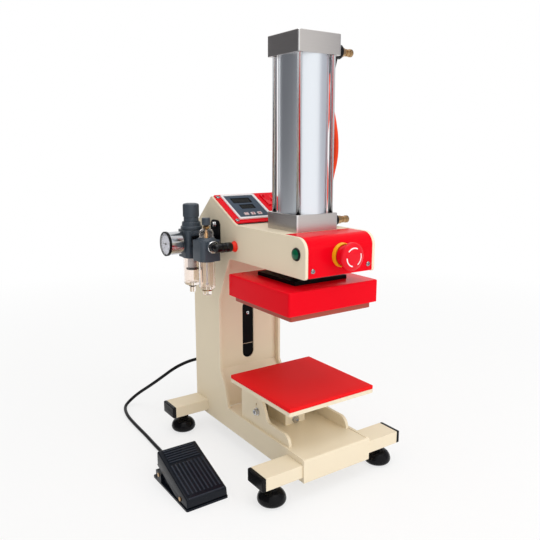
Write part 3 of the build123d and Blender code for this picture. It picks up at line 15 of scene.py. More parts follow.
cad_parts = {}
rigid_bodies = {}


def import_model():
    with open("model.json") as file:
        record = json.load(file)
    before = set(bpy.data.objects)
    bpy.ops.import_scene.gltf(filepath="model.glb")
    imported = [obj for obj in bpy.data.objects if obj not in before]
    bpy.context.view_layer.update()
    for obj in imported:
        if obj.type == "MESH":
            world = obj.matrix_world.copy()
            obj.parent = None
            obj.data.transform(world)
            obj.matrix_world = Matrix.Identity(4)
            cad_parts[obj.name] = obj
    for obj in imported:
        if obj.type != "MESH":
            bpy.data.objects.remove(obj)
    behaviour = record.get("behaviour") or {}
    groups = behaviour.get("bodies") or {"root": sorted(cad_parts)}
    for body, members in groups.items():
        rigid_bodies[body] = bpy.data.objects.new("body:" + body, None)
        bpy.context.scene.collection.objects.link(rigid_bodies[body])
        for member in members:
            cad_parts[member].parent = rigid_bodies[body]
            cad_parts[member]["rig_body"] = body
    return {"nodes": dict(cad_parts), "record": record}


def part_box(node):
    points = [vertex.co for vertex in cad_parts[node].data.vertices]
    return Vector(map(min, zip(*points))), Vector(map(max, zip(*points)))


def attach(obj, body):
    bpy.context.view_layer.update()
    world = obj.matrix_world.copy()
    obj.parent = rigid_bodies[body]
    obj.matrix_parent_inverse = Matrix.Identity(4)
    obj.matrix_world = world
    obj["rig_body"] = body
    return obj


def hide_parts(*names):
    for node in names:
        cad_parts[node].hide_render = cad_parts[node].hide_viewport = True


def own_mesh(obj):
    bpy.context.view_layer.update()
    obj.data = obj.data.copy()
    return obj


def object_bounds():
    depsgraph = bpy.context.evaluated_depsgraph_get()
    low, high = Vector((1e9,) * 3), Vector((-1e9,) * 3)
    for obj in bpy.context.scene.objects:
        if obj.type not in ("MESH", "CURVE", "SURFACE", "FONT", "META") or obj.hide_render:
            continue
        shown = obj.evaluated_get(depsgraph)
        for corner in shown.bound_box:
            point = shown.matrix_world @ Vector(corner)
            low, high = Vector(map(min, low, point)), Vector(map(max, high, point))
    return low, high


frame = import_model()
cad_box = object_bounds()
nodes = frame["nodes"]
slot_of = {part["node"]: part["material_slot"] for part in frame["record"]["subparts"]}
print("CAD box", cad_box)

# %% [markdown]
# ## Places and sizes
# Blender works in metres, but a machine is drawn in millimetres. The press's sizes in this file are
# millimetres, with heights counted from the floor, and small helpers turn them into Blender's places. The
# floor is where the lowest solid ends. Distances inside shaders, and the stage's places, stay in metres.

# %% Millimetres and the floor
MM = 0.001
floor_z = cad_box[0].z
print("floor at", round(floor_z / MM, 1), "mm")


def at(x, y, height):
    """Place in metres of a point in millimetres, with its height counted from the floor."""
    return Vector((x * MM, y * MM, height * MM + floor_z))


def box_mm(node):
    """A node's lowest and highest corner in millimetres, heights from the floor."""
    low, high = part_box(node)
    return [Vector((c.x, c.y, c.z - floor_z)) / MM for c in (low, high)]


# %% [markdown]
# ## Making a material
# Every finish ends in one Principled shader. One helper starts a material, others add a node, fill its
# sockets by name and join nodes, so that each finish below reads as a short recipe.

# %% Material helpers
def start_material(name):
    """A new material: returns it, its node tree and its Principled shader."""
    made = bpy.data.materials.new(name)
    made.use_nodes = True
    print("material", name)
    return made, made.node_tree, made.node_tree.nodes["Principled BSDF"]


def fill(node, **values):
    """Each value fills the node's input socket of that name, or else the node's own property."""
    for key, value in values.items():
        label = key.replace("_", " ")
        if label in node.inputs:
            node.inputs[label].default_value = value
        else:
            setattr(node, key, value)
    return node


def put(tree, kind, **values):
    """Adds a node and fills it."""
    return fill(tree.nodes.new(kind), **values)


def connect(tree, *links):
    """Joins nodes. A link is a node and its output, then the next node and its input."""
    for giver, output, taker, entry in links:
        tree.links.new(giver.outputs[output], taker.inputs[entry])


def start_group(name, inputs, outputs):
    """A new shader node group: returns its tree, its input node and its output node."""
    tree = bpy.data.node_groups.new(name, "ShaderNodeTree")
    for label, kind, value in inputs:
        tree.interface.new_socket(label, in_out="INPUT", socket_type=kind).default_value = value
    for label, kind in outputs:
        tree.interface.new_socket(label, in_out="OUTPUT", socket_type=kind)
    print("group", name)
    return tree, tree.nodes.new("NodeGroupInput"), tree.nodes.new("NodeGroupOutput")


# %% [markdown]
# ## Shared effect: surface texture
# Powder coat has a faint orange peel, moulded plastic a fine grain, rubber a dull bloom. All three are the
# same idea at other scales: noise that lifts the surface a little and breaks up its gloss. One group holds
# the idea, and each material sets its own scale, height and spread of gloss.

# %% Surface texture group
FLOAT, COLOUR, VECTOR = "NodeSocketFloat", "NodeSocketColor", "NodeSocketVector"
surface_inputs = [("Scale", FLOAT, 900.0), ("Roughness", FLOAT, 0.4), ("Spread", FLOAT, 0.08),
                  ("Color", COLOUR, (0.5, 0.5, 0.5, 1)), ("Shade", FLOAT, 0.05)]
surface_outputs = [("Color", COLOUR), ("Roughness", FLOAT), ("Height", FLOAT)]


def vary(tree, enter, leave, noise):
    """Breaks up a group's gloss by its Spread and its colour by its Shade, with noise centred on zero."""
    centred = put(tree, "ShaderNodeMath", operation="SUBTRACT")
    centred.inputs[1].default_value = 0.5
    glossed = put(tree, "ShaderNodeMath", operation="MULTIPLY_ADD")
    toned = put(tree, "ShaderNodeMath", operation="MULTIPLY_ADD")
    toned.inputs[2].default_value = 1.0
    tinted = put(tree, "ShaderNodeVectorMath", operation="SCALE")
    connect(tree, (noise, "Fac", centred, 0),
            (centred, 0, glossed, 0), (enter, "Spread", glossed, 1), (enter, "Roughness", glossed, 2),
            (centred, 0, toned, 0), (enter, "Shade", toned, 1),
            (enter, "Color", tinted, 0), (toned, 0, tinted, "Scale"),
            (tinted, "Vector", leave, "Color"), (glossed, 0, leave, "Roughness"))


texture_group, enter, leave = start_group("Surface texture", surface_inputs, surface_outputs)
place = put(texture_group, "ShaderNodeTexCoord")
fine = put(texture_group, "ShaderNodeTexNoise", Detail=3.0)
broad = put(texture_group, "ShaderNodeTexNoise", Scale=14.0, Detail=4.0)
connect(texture_group, (place, "Object", fine, "Vector"), (place, "Object", broad, "Vector"),
        (enter, "Scale", fine, "Scale"), (fine, "Fac", leave, "Height"))
vary(texture_group, enter, leave, broad)

# %% [markdown]
# ## Shared effect: lit edges
# Every folded or cut edge of the real press catches the light as a pale line. Here that line is a painted
# highlight: the edges are painted paler. The Bevel node finds edges: it rounds the normal near them, and
# where the rounded normal leaves the true one there is an edge. The group gives that as a mask.

# %% Edge group
edge_group, enter, leave = start_group(
    "Edge mask", [("Reach", FLOAT, 0.0012), ("Strength", FLOAT, 1.0)], [("Mask", FLOAT)])
round_normal = put(edge_group, "ShaderNodeBevel", samples=4)
true_normal = put(edge_group, "ShaderNodeNewGeometry")
same = put(edge_group, "ShaderNodeVectorMath", operation="DOT_PRODUCT")
leaving = put(edge_group, "ShaderNodeMath", operation="SUBTRACT")
leaving.inputs[0].default_value = 1.0
strong = put(edge_group, "ShaderNodeMath", operation="MULTIPLY", use_clamp=True)
connect(edge_group, (enter, "Reach", round_normal, "Radius"), (round_normal, "Normal", same, 0),
        (true_normal, "Normal", same, 1), (same, "Value", leaving, 1), (leaving, 0, strong, 0),
        (enter, "Strength", strong, 1), (strong, 0, leave, "Mask"))

# %% [markdown]
# ## Shared effect: drawn grain
# Drawn tube, brushed plate and milled caps are streaked along one direction. Noise squeezed along that
# direction gives the streaks, and they change the gloss more than the colour.

# %% Grain group
grain_group, enter, leave = start_group(
    "Drawn grain", [("Stretch", VECTOR, (1.0, 1.0, 0.02)), *surface_inputs], surface_outputs)
place = put(grain_group, "ShaderNodeTexCoord")
squeezed = put(grain_group, "ShaderNodeVectorMath", operation="MULTIPLY")
streaks = put(grain_group, "ShaderNodeTexNoise", Detail=2.0)
connect(grain_group, (place, "Object", squeezed, 0), (enter, "Stretch", squeezed, 1),
        (squeezed, "Vector", streaks, "Vector"), (enter, "Scale", streaks, "Scale"),
        (streaks, "Fac", leave, "Height"))
vary(grain_group, enter, leave, streaks)

# %% [markdown]
# ## Paint
# The stand is cream powder coat and the head, heater cover and control plate are glossy red. Both are paint:
# orange peel, a thin clear gloss on top, and edges that catch the light. Texture and edge mask meet in one
# recipe, which plastic and rubber use too.

# %% Paint
def edged(name, colour, edge_highlight_colour, surface, edges, relief, shine, coat):
    """A textured finish with a painted edge highlight and a coat (weight, roughness). Dicts fill its other
    nodes.
    """
    made, tree, shader = start_material(name)
    texture = put(tree, "ShaderNodeGroup", node_tree=texture_group, Color=(*colour, 1), **surface)
    mask = put(tree, "ShaderNodeGroup", node_tree=edge_group, **edges)
    # The mask mixes in the paler edge colour: a painted highlight on every edge.
    mixed = put(tree, "ShaderNodeMix", data_type="RGBA")
    mixed.inputs[7].default_value = (*edge_highlight_colour, 1)
    bump = put(tree, "ShaderNodeBump", **relief)
    connect(tree, (texture, "Color", mixed, 6), (mask, "Mask", mixed, 0), (mixed, 2, shader, "Base Color"),
            (texture, "Roughness", shader, "Roughness"), (texture, "Height", bump, "Height"),
            (bump, "Normal", shader, "Normal"))
    fill(shader, Specular_IOR_Level=shine, Coat_Weight=coat[0], Coat_Roughness=coat[1])
    return made


def paint(name, colour, edge_highlight_colour, roughness, coat, shine):
    """Powder coat or gloss paint with a painted highlight on its edges."""
    return edged(name, colour, edge_highlight_colour, dict(Scale=700.0, Roughness=roughness, Spread=0.1, Shade=0.05),
                 dict(Reach=0.0011, Strength=2.2), dict(Strength=0.35, Distance=0.00002), shine, (coat, 0.12))


# The second colour of each paint is its painted edge highlight.
cream = paint("cream powder coat", (0.85, 0.745, 0.565), (0.94, 0.89, 0.77), 0.42, 0.03, 0.15)
red_gloss = paint("red gloss paint", (0.82, 0.002, 0.012), (0.93, 0.10, 0.11), 0.22, 0.02, 0.04)
black_paint = paint("black paint", (0.004, 0.004, 0.005), (0.03, 0.03, 0.03), 0.4, 0.0, 0.06)

# %% [markdown]
# ## Plastic and rubber
# Switches, knobs and the pedal are moulded. Moulded plastic has a fine even grain, and its edges are
# painted a little lighter as a highlight. Rubber is the same recipe with less gloss. The numbers after the
# colour are its roughness and how much it mirrors.

# %% Plastic and rubber
def moulded(name, colour, roughness, shine, grain=1600.0, height=0.00002, coat=0.0, edge=0.0, shade=0.12,
            highlight_lift=2.0):
    """Moulded plastic or rubber; edge and lift set how strong and how pale its painted edge highlight is."""
    # The edges get a paler colour: a painted highlight.
    highlight_colours = [min(1.0, part * highlight_lift + 0.015) for part in colour]
    return edged(name, colour, highlight_colours, dict(Scale=grain, Roughness=roughness, Spread=0.14, Shade=shade),
                 dict(Reach=0.0007, Strength=edge), dict(Strength=0.4, Distance=height), shine, (coat, 0.08))


black_plastic = moulded("black plastic", (0.005, 0.005, 0.006), 0.26, 0.12, coat=0.06, edge=0.4)
pedal_plastic = moulded("pedal plastic", (0.006, 0.008, 0.013), 0.26, 0.14, grain=1100.0, height=0.00001,
                        coat=0.06, edge=0.8, highlight_lift=3.0)
# The paler pedal plastic is painted light for the rib tops.
rib_top_highlight_plastic = moulded("pedal rib tops painted light", (0.026, 0.032, 0.045), 0.3, 0.14, grain=1100.0, height=0.00001)
gloss_black = moulded("gloss black", (0.003, 0.003, 0.004), 0.14, 0.15, height=0.0000003, coat=0.35)
black_rubber = moulded("black rubber", (0.004, 0.004, 0.005), 0.24, 0.12, grain=900.0, coat=0.06, edge=0.4)
cable_rubber = moulded("cable sheath", (0.006, 0.006, 0.007), 0.34, 0.15, grain=1800.0, edge=0.4)
pad_rubber = moulded("red silicone rubber", (0.85, 0.013, 0.015), 0.5, 0.04, grain=1000.0, shade=0.06)
slate = moulded("slate casting", (0.052, 0.067, 0.086), 0.32, 0.35, grain=900.0, height=0.00005, edge=1.0)
white_plastic = moulded("white plastic", (0.82, 0.82, 0.83), 0.3, 0.2)
face_film = moulded("controller face film", (0.055, 0.080, 0.115), 0.3, 0.05, grain=2600.0, height=0.000006)
window_film = moulded("display window", (0.004, 0.004, 0.005), 0.2, 0.02, grain=3000.0, height=0.000002,
                      edge=0.4)
segment_film = moulded("unlit segment", (0.042, 0.046, 0.044), 0.3, 0.02, grain=3000.0, height=0.000002,
                       edge=0.4)
key_rubber = moulded("key rubber", (0.74, 0.62, 0.62), 0.45, 0.1)
key_mark = moulded("key mark", (0.34, 0.02, 0.03), 0.45, 0.1)
stop_red = moulded("stop button red", (0.80, 0.003, 0.016), 0.22, 0.15, coat=0.08, shade=0.04)
stop_yellow = moulded("stop button yellow", (0.90, 0.46, 0.01), 0.3, 0.15, coat=0.08, shade=0.05)
mark_white = moulded("white print", (0.90, 0.86, 0.86), 0.4, 0.1, shade=0.03)
dial_white = moulded("dial white", (0.80, 0.80, 0.86), 0.5, 0.1, shade=0.03)
dial_black = moulded("dial print", (0.01, 0.01, 0.012), 0.5, 0.05)
release_red = moulded("fitting release ring", (0.84, 0.03, 0.012), 0.32, 0.15, coat=0.06)
hose_red = moulded("air hose", (0.80, 0.05, 0.008), 0.28, 0.15, grain=700.0, height=0.00001, coat=0.06)

# %% [markdown]
# ## Bare metal
# The cylinder is where the machine shines: a drawn aluminium barrel, chromed rods and milled caps. Metal is
# all reflection, so its look comes from its roughness and its streaks far more than from its colour.

# %% Metal
def metal(name, colour, roughness, stretch=(1.0, 1.0, 1.0), scale=1400.0, spread=0.15, shade=0.1,
          height=0.000004, metallic=1.0):
    """Bare metal with its grain squeezed along the axes whose stretch is small."""
    made, tree, shader = start_material(name)
    grain = put(tree, "ShaderNodeGroup", node_tree=grain_group, Stretch=stretch, Scale=scale,
                Roughness=roughness, Spread=spread, Color=(*colour, 1), Shade=shade)
    bump = put(tree, "ShaderNodeBump", Strength=0.3, Distance=height)
    connect(tree, (grain, "Color", shader, "Base Color"), (grain, "Roughness", shader, "Roughness"),
            (grain, "Height", bump, "Height"), (bump, "Normal", shader, "Normal"))
    fill(shader, Metallic=metallic)
    return made


along_z, across_z = (1.0, 1.0, 0.03), (0.06, 0.06, 1.0)
polish = dict(spread=0.03, shade=0.03, height=0.0000003)
barrel_metal = metal("drawn barrel", (0.86, 0.90, 0.95), 0.34, along_z, 900.0, **polish)
# The cap corner metal is a painted highlight: paler and glossier than the milled cap.
cap_corner_highlight = metal("cap corner painted highlight", (0.86, 0.85, 0.84), 0.3, (1.0, 1.0, 0.06), 900.0, **polish)
cap_metal = metal("milled cap", (0.58, 0.55, 0.53), 0.29, across_z, 700.0, 0.04, 0.07, height=0.0000002)
chrome = metal("chromed rod", (0.56, 0.57, 0.59), 0.17, along_z, 1200.0, **polish)
steel = metal("machined steel", (0.56, 0.56, 0.57), 0.24, scale=1500.0)
bright_steel = metal("plated steel", (0.62, 0.62, 0.63), 0.16, scale=1500.0)
screw_steel = metal("screw steel", (0.36, 0.35, 0.36), 0.22, scale=1500.0)
brass = metal("turned brass", (0.46, 0.29, 0.14), 0.16, scale=1100.0, shade=0.2)
hot_alloy = metal("coated heater alloy", (0.42, 0.07, 0.04), 0.45, scale=400.0, spread=0.25, shade=0.3,
                  metallic=0.3)
spring_steel = metal("spring steel", (0.5, 0.5, 0.5), 0.3)

# %% [markdown]
# ## Clear plastic
# The two bowls and the oiler's sight are clear with a faint warm tint, and the gauge's lens is nearly
# colourless. Transmission makes them clear, and a little roughness keeps them from looking like fine glass.

# %% Clear plastic
def clear(name, colour, roughness):
    """Clear plastic, tinted by its base colour."""
    made, tree, shader = start_material(name)
    texture = put(tree, "ShaderNodeGroup", node_tree=texture_group, Scale=300.0, Roughness=roughness,
                  Spread=0.06, Color=(*colour, 1), Shade=0.05)
    connect(tree, (texture, "Color", shader, "Base Color"), (texture, "Roughness", shader, "Roughness"))
    fill(shader, Transmission_Weight=1.0, IOR=1.46)
    return made


bowl_clear = clear("clear bowl", (0.97, 0.90, 0.85), 0.06)
lens_clear = clear("gauge lens", (0.98, 0.98, 1.0), 0.02)

# %% [markdown]
# ## Shapes
# A CAD node arrives as loose triangles with knife-sharp edges, which real sheet and castings never have. A
# copy of it is merged into whole faces and given a Bevel modifier, and the copy stands for the node. New
# shapes are turned, like a lathe does it, from a short profile, or begin as a block.

# %% Pieces
weld = 0.002 * MM


def linked(name, data):
    """A new object in the scene."""
    made = bpy.data.objects.new(name, data)
    bpy.context.scene.collection.objects.link(made)
    return made


def show(name, data, look, slot, body, *replaced):
    """A finished piece that rides on its body and stands for CAD nodes."""
    piece = linked(name, data)
    for one in look if isinstance(look, list) else [look]:
        piece.data.materials.append(one)
    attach(piece, body)
    if replaced:
        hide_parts(*replaced)
    print(name, "rides on", body)
    return piece


def piece_from(name, shape, look, slot, body="stand", *replaced, crease=32.0):
    """Turns a bmesh in metres into a shown piece, smooth but for edges over the crease angle."""
    mesh = bpy.data.meshes.new(name)
    shape.to_mesh(mesh)
    shape.free()
    mesh.shade_smooth()
    mesh.set_sharp_from_angle(angle=radians(crease))
    return show(name, mesh, look, slot, body, *replaced)


def stand_in(node, shape, look, crease=32.0):
    """Shows a bmesh in place of a CAD node."""
    return piece_from(node + "_shown", shape, look, slot_of[node], nodes[node]["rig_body"], node,
                      crease=crease)


def rounded(piece, edge, segments=2, crease=30.0):
    """Rounds a piece's edges over the crease angle; the edge radius is in millimetres."""
    rounding = piece.modifiers.new("edges", "BEVEL")
    rounding.width = edge * MM
    rounding.segments = segments
    rounding.limit_method = "ANGLE"
    rounding.angle_limit = radians(crease)
    rounding.harden_normals = True
    return piece


def merged_copy(node):
    """A bmesh of a CAD node with its triangles merged into whole faces."""
    shape = bmesh.new()
    shape.from_mesh(nodes[node].data)
    bmesh.ops.remove_doubles(shape, verts=shape.verts, dist=weld)
    bmesh.ops.dissolve_limit(shape, angle_limit=radians(0.8), verts=shape.verts, edges=shape.edges,
                             delimit={"NORMAL"})
    return shape


def softened(node, look, edge=0.5, segments=2, crease=30.0):
    """Stands a copy with rounded edges in for a CAD node; the edge radius is in millimetres."""
    piece = stand_in(node, merged_copy(node), look, crease)
    return rounded(piece, edge, segments, crease) if edge else piece


# %% Shapes
UP, LEFT, RIGHT = (0, 0, 1), (-1, 0, 0), (1, 0, 0)
FRONT, BACK = (0, -1, 0), (0, 1, 0)


def moved(shape, matrix):
    """The same bmesh after a move."""
    bmesh.ops.transform(shape, matrix=matrix, verts=shape.verts)
    return shape


def looking(spot, direction):
    """The move that takes the origin to a place in metres and Z to a direction."""
    return Matrix.Translation(spot) @ Vector(direction).to_track_quat("Z", "Y").to_matrix().to_4x4()


def turned(profile, start, direction, steps=48):
    """A bmesh turned from (radius, distance) points in millimetres about a line from a place in metres."""
    shape = bmesh.new()
    points = [shape.verts.new((radius * MM, 0, along * MM)) for radius, along in profile]
    edges = [shape.edges.new(pair) for pair in zip(points, points[1:])]
    bmesh.ops.spin(shape, geom=points + edges, cent=(0, 0, 0), axis=(0, 0, 1), angle=2 * pi, steps=steps,
                   use_merge=True)
    bmesh.ops.remove_doubles(shape, verts=shape.verts, dist=weld)
    bmesh.ops.recalc_face_normals(shape, faces=shape.faces)
    return moved(shape, looking(start, direction))


def lathe(name, look, slot, profile, start, direction=UP, steps=48, crease=32.0):
    """Turns and shows a fixed piece that stands for no CAD node."""
    return piece_from(name, turned(profile, start, direction, steps), look, slot, crease=crease)


def block(low, high, edge=0.0, segments=2, place=at):
    """A bmesh block between two corners in millimetres, with its edges rounded."""
    shape = bmesh.new()
    bmesh.ops.create_cube(shape, size=1.0)
    size = [abs(b - a) * MM for a, b in zip(low, high)]
    bmesh.ops.scale(shape, vec=size, verts=shape.verts)
    if edge:
        bmesh.ops.bevel(shape, geom=shape.edges[:], offset=edge * MM, segments=segments, profile=0.5,
                        affect="EDGES", material=-1)
    return moved(shape, Matrix.Translation(place(*((a + b) / 2 for a, b in zip(low, high)))))


def joined(*shapes):
    """One bmesh from several."""
    whole = bmesh.new()
    for shape in shapes:
        lump = bpy.data.meshes.new("lump")
        shape.to_mesh(lump)
        shape.free()
        whole.from_mesh(lump)
        bpy.data.meshes.remove(lump)
    return whole


# %% [markdown]
# ## The stand
# Welded and painted in one go, so every sheet of the stand has the same cream coat. Laser-cut plate is
# rounded about half a millimetre by the blasting before the paint, folded tube a little more.

# %% Stand
for node in ("side_plate_left", "side_plate_right", "base_cover", "column_front_panel", "column_back_panel",
             "arm_top_plate", "table_plate", "table_cradle"):
    softened(node, cream, 0.6)
softened("crossbars", cream, 1.4, 3)
softened("crossbar_caps", black_plastic, 1.0, 3)
softened("feet", black_rubber, 0.0, crease=50.0)
softened("slot_plate", black_paint, 0.4)
softened("air_bracket", black_paint, 0.5)

# %% [markdown]
# ## Red covers
# The head cover and the control plate are thin folded sheet, the heater cover a deep lid. Their gloss is
# higher than the stand's, and their long straight edges show it.

# %% Red covers
softened("head_cover", red_gloss, 0.35)
softened("control_plate", red_gloss, 0.35)
softened("heater_cover", red_gloss, 0.5, 3)
softened("heating_plate", hot_alloy, 0.8)
# The press flange is black and as wide as the dark shade under the head, so its black is partly painted
# shade.
softened("press_flange", black_paint, 0.6)

# %% [markdown]
# ## Rubber pad
# A slab of silicone rubber lies on the table. Rubber cut from sheet keeps a flat top but its rim is soft and
# a little crowned, so the block gets loops, rounded edges and a slight swell towards its middle.

# %% Pad
pad_low, pad_high = box_mm("press_pad")
pad_crown, pad_inset, pad_edge, long_edge = 0.25, 0.2, 1.1, 50.0
slab = block(pad_low + Vector((pad_inset, pad_inset, 0)),
             pad_high - Vector((pad_inset, pad_inset, pad_crown)), pad_edge, 4)
bmesh.ops.subdivide_edges(slab, edges=[e for e in slab.edges if e.calc_length() > long_edge * MM], cuts=12,
                          use_grid_fill=True)
pad_top = max(v.co.z for v in slab.verts)
half_x, half_y = (pad_high.x - pad_low.x) * MM / 2, (pad_high.y - pad_low.y) * MM / 2
for v in slab.verts:
    if v.co.z > pad_top - 0.1 * MM:
        v.co.z += pad_crown * MM * (1 - (v.co.x / half_x) ** 4) * (1 - (v.co.y / half_y) ** 4)
pad = stand_in("press_pad", slab, pad_rubber, crease=40)
print("pad", round((pad_high.x - pad_low.x), 1), "by", round((pad_high.y - pad_low.y), 1), "mm")

# %% [markdown]
# ## Air cylinder
# The barrel is a smooth drawn tube, turned here again so that its outline is round. The caps keep the shape
# that CAD gave them, with milled faces, and their corners get a paler metal as a painted highlight. The four
# tie rods are chromed, with hex sockets in their heads.

# %% Cylinder
barrel_low, barrel_high = box_mm("cylinder_barrel")
barrel_radius = (barrel_high.x - barrel_low.x) / 2
barrel_length = barrel_high.z - barrel_low.z
bore_radius = 31.5
barrel_profile = [(bore_radius, 0), (barrel_radius, 0), (barrel_radius, barrel_length),
                  (bore_radius, barrel_length), (bore_radius, 0)]
piece_from("barrel_shown", turned(barrel_profile, at(0, 0, barrel_low.z), UP, 96), barrel_metal,
           "barrel_aluminium", "stand", "cylinder_barrel")
corner_reach = 2.2
for node in ("cylinder_lower_cap", "cylinder_upper_cap"):
    cap = merged_copy(node)
    corner = (box_mm(node)[1].y - corner_reach) * MM
    # Faces near each cap's upright corners get the paler metal, a painted highlight.
    for face in cap.faces:
        middle = face.calc_center_median()
        face.material_index = int(min(abs(middle.x), abs(middle.y)) > corner)
    rounded(stand_in(node, cap, [cap_metal, cap_corner_highlight]), 0.5, 3)
softened("tie_rods", chrome, 0.0, crease=60)
softened("piston_rod", chrome, 0.3, crease=50)
softened("piston", hot_alloy, 0.3)

# %% [markdown]
# ## Emergency stop
# A red mushroom on a yellow collar. Its crown carries three curved strokes that show which way it turns to
# let go. Each stroke is a short line spun about the crown's axis and thickened, and it lies lower at its
# outer edge, as the crown does.

# %% Emergency stop
softened("stop_collar", stop_yellow, 0.5, 3)
softened("stop_stem", steel, 0.3)
head_low, head_high = box_mm("stop_mushroom")
stop_height = (head_low.z + head_high.z) / 2
head_radius = (head_high.z - head_low.z) / 2
crown_front = head_low.y
neck_end = head_high.y - head_low.y
rim, hollow_radius, neck_bore = 4.0, 15.0, 5.05
mushroom = turned(
    [(0, 0), (head_radius * 0.42, 0.1), (head_radius * 0.62, 0.75), (head_radius * 0.79, 1.6),
     (head_radius * 0.92, 2.6), (head_radius - 0.35, 3.6), (head_radius, rim + 0.6), (head_radius, rim + 3.4),
     (head_radius - 0.6, rim + 4.4), (hollow_radius, rim + 4.5), (hollow_radius, neck_end),
     (neck_bore, neck_end), (neck_bore, rim + 4.5)],
    at(0, crown_front, stop_height), BACK, 72)
stand_in("stop_mushroom", mushroom, stop_red, crease=40)
stroke_radius, stroke_width, stroke_sweep = head_radius * 0.64, 1.7, 78
inner_depth, outer_depth, stroke_thickness = 0.5, 0.83, 0.6


def curved_stroke(start_turn):
    """A stroke on the crown: a flat strip spun about the button's axis and given its thickness."""
    shape = bmesh.new()
    inner, outer = (shape.verts.new(((stroke_radius + side * stroke_width / 2) * MM, 0, 0))
                    for side in (-1, 1))
    edge = shape.edges.new((inner, outer))
    bmesh.ops.spin(shape, geom=[inner, outer, edge], cent=(0, 0, 0), axis=(0, 1, 0),
                   angle=radians(stroke_sweep), steps=16)
    moved(shape, Matrix.Rotation(radians(start_turn), 4, "Y"))
    for v in shape.verts:
        v.co.y = (inner_depth if v.co.length < stroke_radius * MM else outer_depth) * MM
    bmesh.ops.recalc_face_normals(shape, faces=shape.faces)
    bmesh.ops.solidify(shape, geom=shape.faces[:], thickness=stroke_thickness * MM)
    return moved(shape, Matrix.Translation(at(0, crown_front, stop_height)))


strokes = joined(*(curved_stroke(turn) for turn in (-20, 100, 220)))
piece_from("stop_strokes", strokes, mark_white, "white_plastic", "stop_mushroom_body")

# %% [markdown]
# ## Start button
# The green cap is a clear lens over a green core, held in a black ring. What shows is an uneven green under
# gloss, so a domed cap with a gloss coat and strong shading in its colour gives the same look.

# %% Start button
start_green = moulded("start button green", (0.0, 0.105, 0.045), 0.16, 0.2, coat=0.2, shade=0.9)
softened("start_bezel", black_plastic, 0.4)
cap_low, cap_high = box_mm("start_button")
cap_radius = (cap_high.z - cap_low.z) / 2
cap_spot = at(cap_low.x, (cap_low.y + cap_high.y) / 2, (cap_low.z + cap_high.z) / 2)
cap_length = cap_high.x - cap_low.x
cap = turned([(0, 0), (cap_radius * 0.35, 0.15), (cap_radius * 0.62, 0.55), (cap_radius * 0.84, 1.2),
              (cap_radius * 0.97, 2.1), (cap_radius, 3.0), (cap_radius, cap_length), (0, cap_length)],
             cap_spot, RIGHT)
stand_in("start_button", cap, start_green)

# %% [markdown]
# ## Controller
# A white frame holds a slate face with two dark windows. Behind dark glass a numeric display that is off
# still shows its seven-stroke figures as faint lines, so each figure is seven small bars. The panel slopes,
# so its pieces are drawn flat and then laid on the slope with one matrix.

# %% Panel plane
slope_degrees = 27.4
slope_foot = at(0, 88.0, 385.5)
panel = Matrix.Translation(slope_foot) @ Matrix.Rotation(radians(slope_degrees), 4, "X")
print("panel slopes", slope_degrees, "degrees")


def drawn(x, y, z):
    """Place in metres of a point in millimetres in a drawing that is moved into place later."""
    return Vector((x, y, z)) * MM


def chip(x0, x1, s0, s1, low, high):
    """A small block on the slope between limits across, up and out of it, in millimetres."""
    return moved(block((x0, s0, low), (x1, s1, high), place=drawn), panel)


# %% Controller pieces
softened("controller_frame", white_plastic, 0.4, 3)
softened("controller_face", face_film, 0.15)
for node in ("key_left", "key_middle", "key_right"):
    softened(node, key_rubber, 0.35, 3)
face_top = 3.6
window_floor = face_top - 0.8
windows = {"upper": (-38.0, -1.0, 57.0, 73.0), "lower": (-31.5, -4.0, 39.5, 52.5)}
glass = joined(*(chip(x0 + 0.1, x1 - 0.1, s0 + 0.1, s1 - 0.1, window_floor - 0.1, window_floor + 0.35)
                 for x0, x1, s0, s1 in windows.values()))
piece_from("display_windows", glass, window_film, "face_plastic")


def figure(x, s, width, height):
    """The seven bars of one figure, standing on the window."""
    bar, middle, top = width * 0.2, s + height / 2, s + height
    sides = (x, x + bar), (x + width - bar, x + width)
    levels = (top - bar, top), (middle - bar / 2, middle + bar / 2), (s, s + bar)
    halves = (middle + bar * 0.7, top - bar * 1.2), (s + bar * 1.2, middle - bar * 0.7)
    places = [(x, x + width, *level) for level in levels]
    places += [(*side, *half) for half in halves for side in sides]
    return [chip(*place, window_floor + 0.3, window_floor + 0.42) for place in places]


bars = []
for i in range(4):
    bars += figure(-34.6 + i * 8.0, 60.0, 5.6, 10.0)
    bars += figure(-28.8 + i * 5.9, 41.9, 4.2, 8.2)
piece_from("display_figures", joined(*bars), segment_film, "face_plastic")

# %% Key marks
key_top = face_top + 0.9
key_s = 24.0
marks = {"key_left": (-31.8, [(-2.3, 2.3, -2.4, -1.6), (-2.3, 2.3, 1.6, 2.4), (-0.4, 0.4, -0.8, 0.8)]),
         "key_middle": (-18.9, [(-1.8, 1.8, -1.6, 1.6)]),
         "key_right": (-6.2, [(-2.4, 2.4, -0.5, 0.5), (-0.6, 0.6, -2.4, -0.7), (-0.6, 0.6, 0.7, 2.4)])}
for key, (key_x, bars) in marks.items():
    shapes = [chip(key_x + x0, key_x + x1, key_s + s0, key_s + s1, key_top - 0.1, key_top + 0.06)
              for x0, x1, s0, s1 in bars]
    piece_from(key + "_mark", joined(*shapes), key_mark, "red_plastic", key + "_body")

# %% [markdown]
# ## Rocker switch
# The power switch is a plain red rocker in a red frame. It stands tilted to one side, which is how it shows
# whether it is on, so all that it needs is soft edges.

# %% Rocker switch
softened("rocker_bezel", stop_red, 0.3)
softened("rocker_switch", stop_red, 0.4, 3)

# %% [markdown]
# ## Screws
# Each visible screw is turned from a pan profile, and its cross is cut with a Boolean, because a slot has a
# sharp floor that no bevel gives. The cutter is two crossed bars that are thrown away afterwards, and their
# half lengths and half widths are shares of the head's radius.

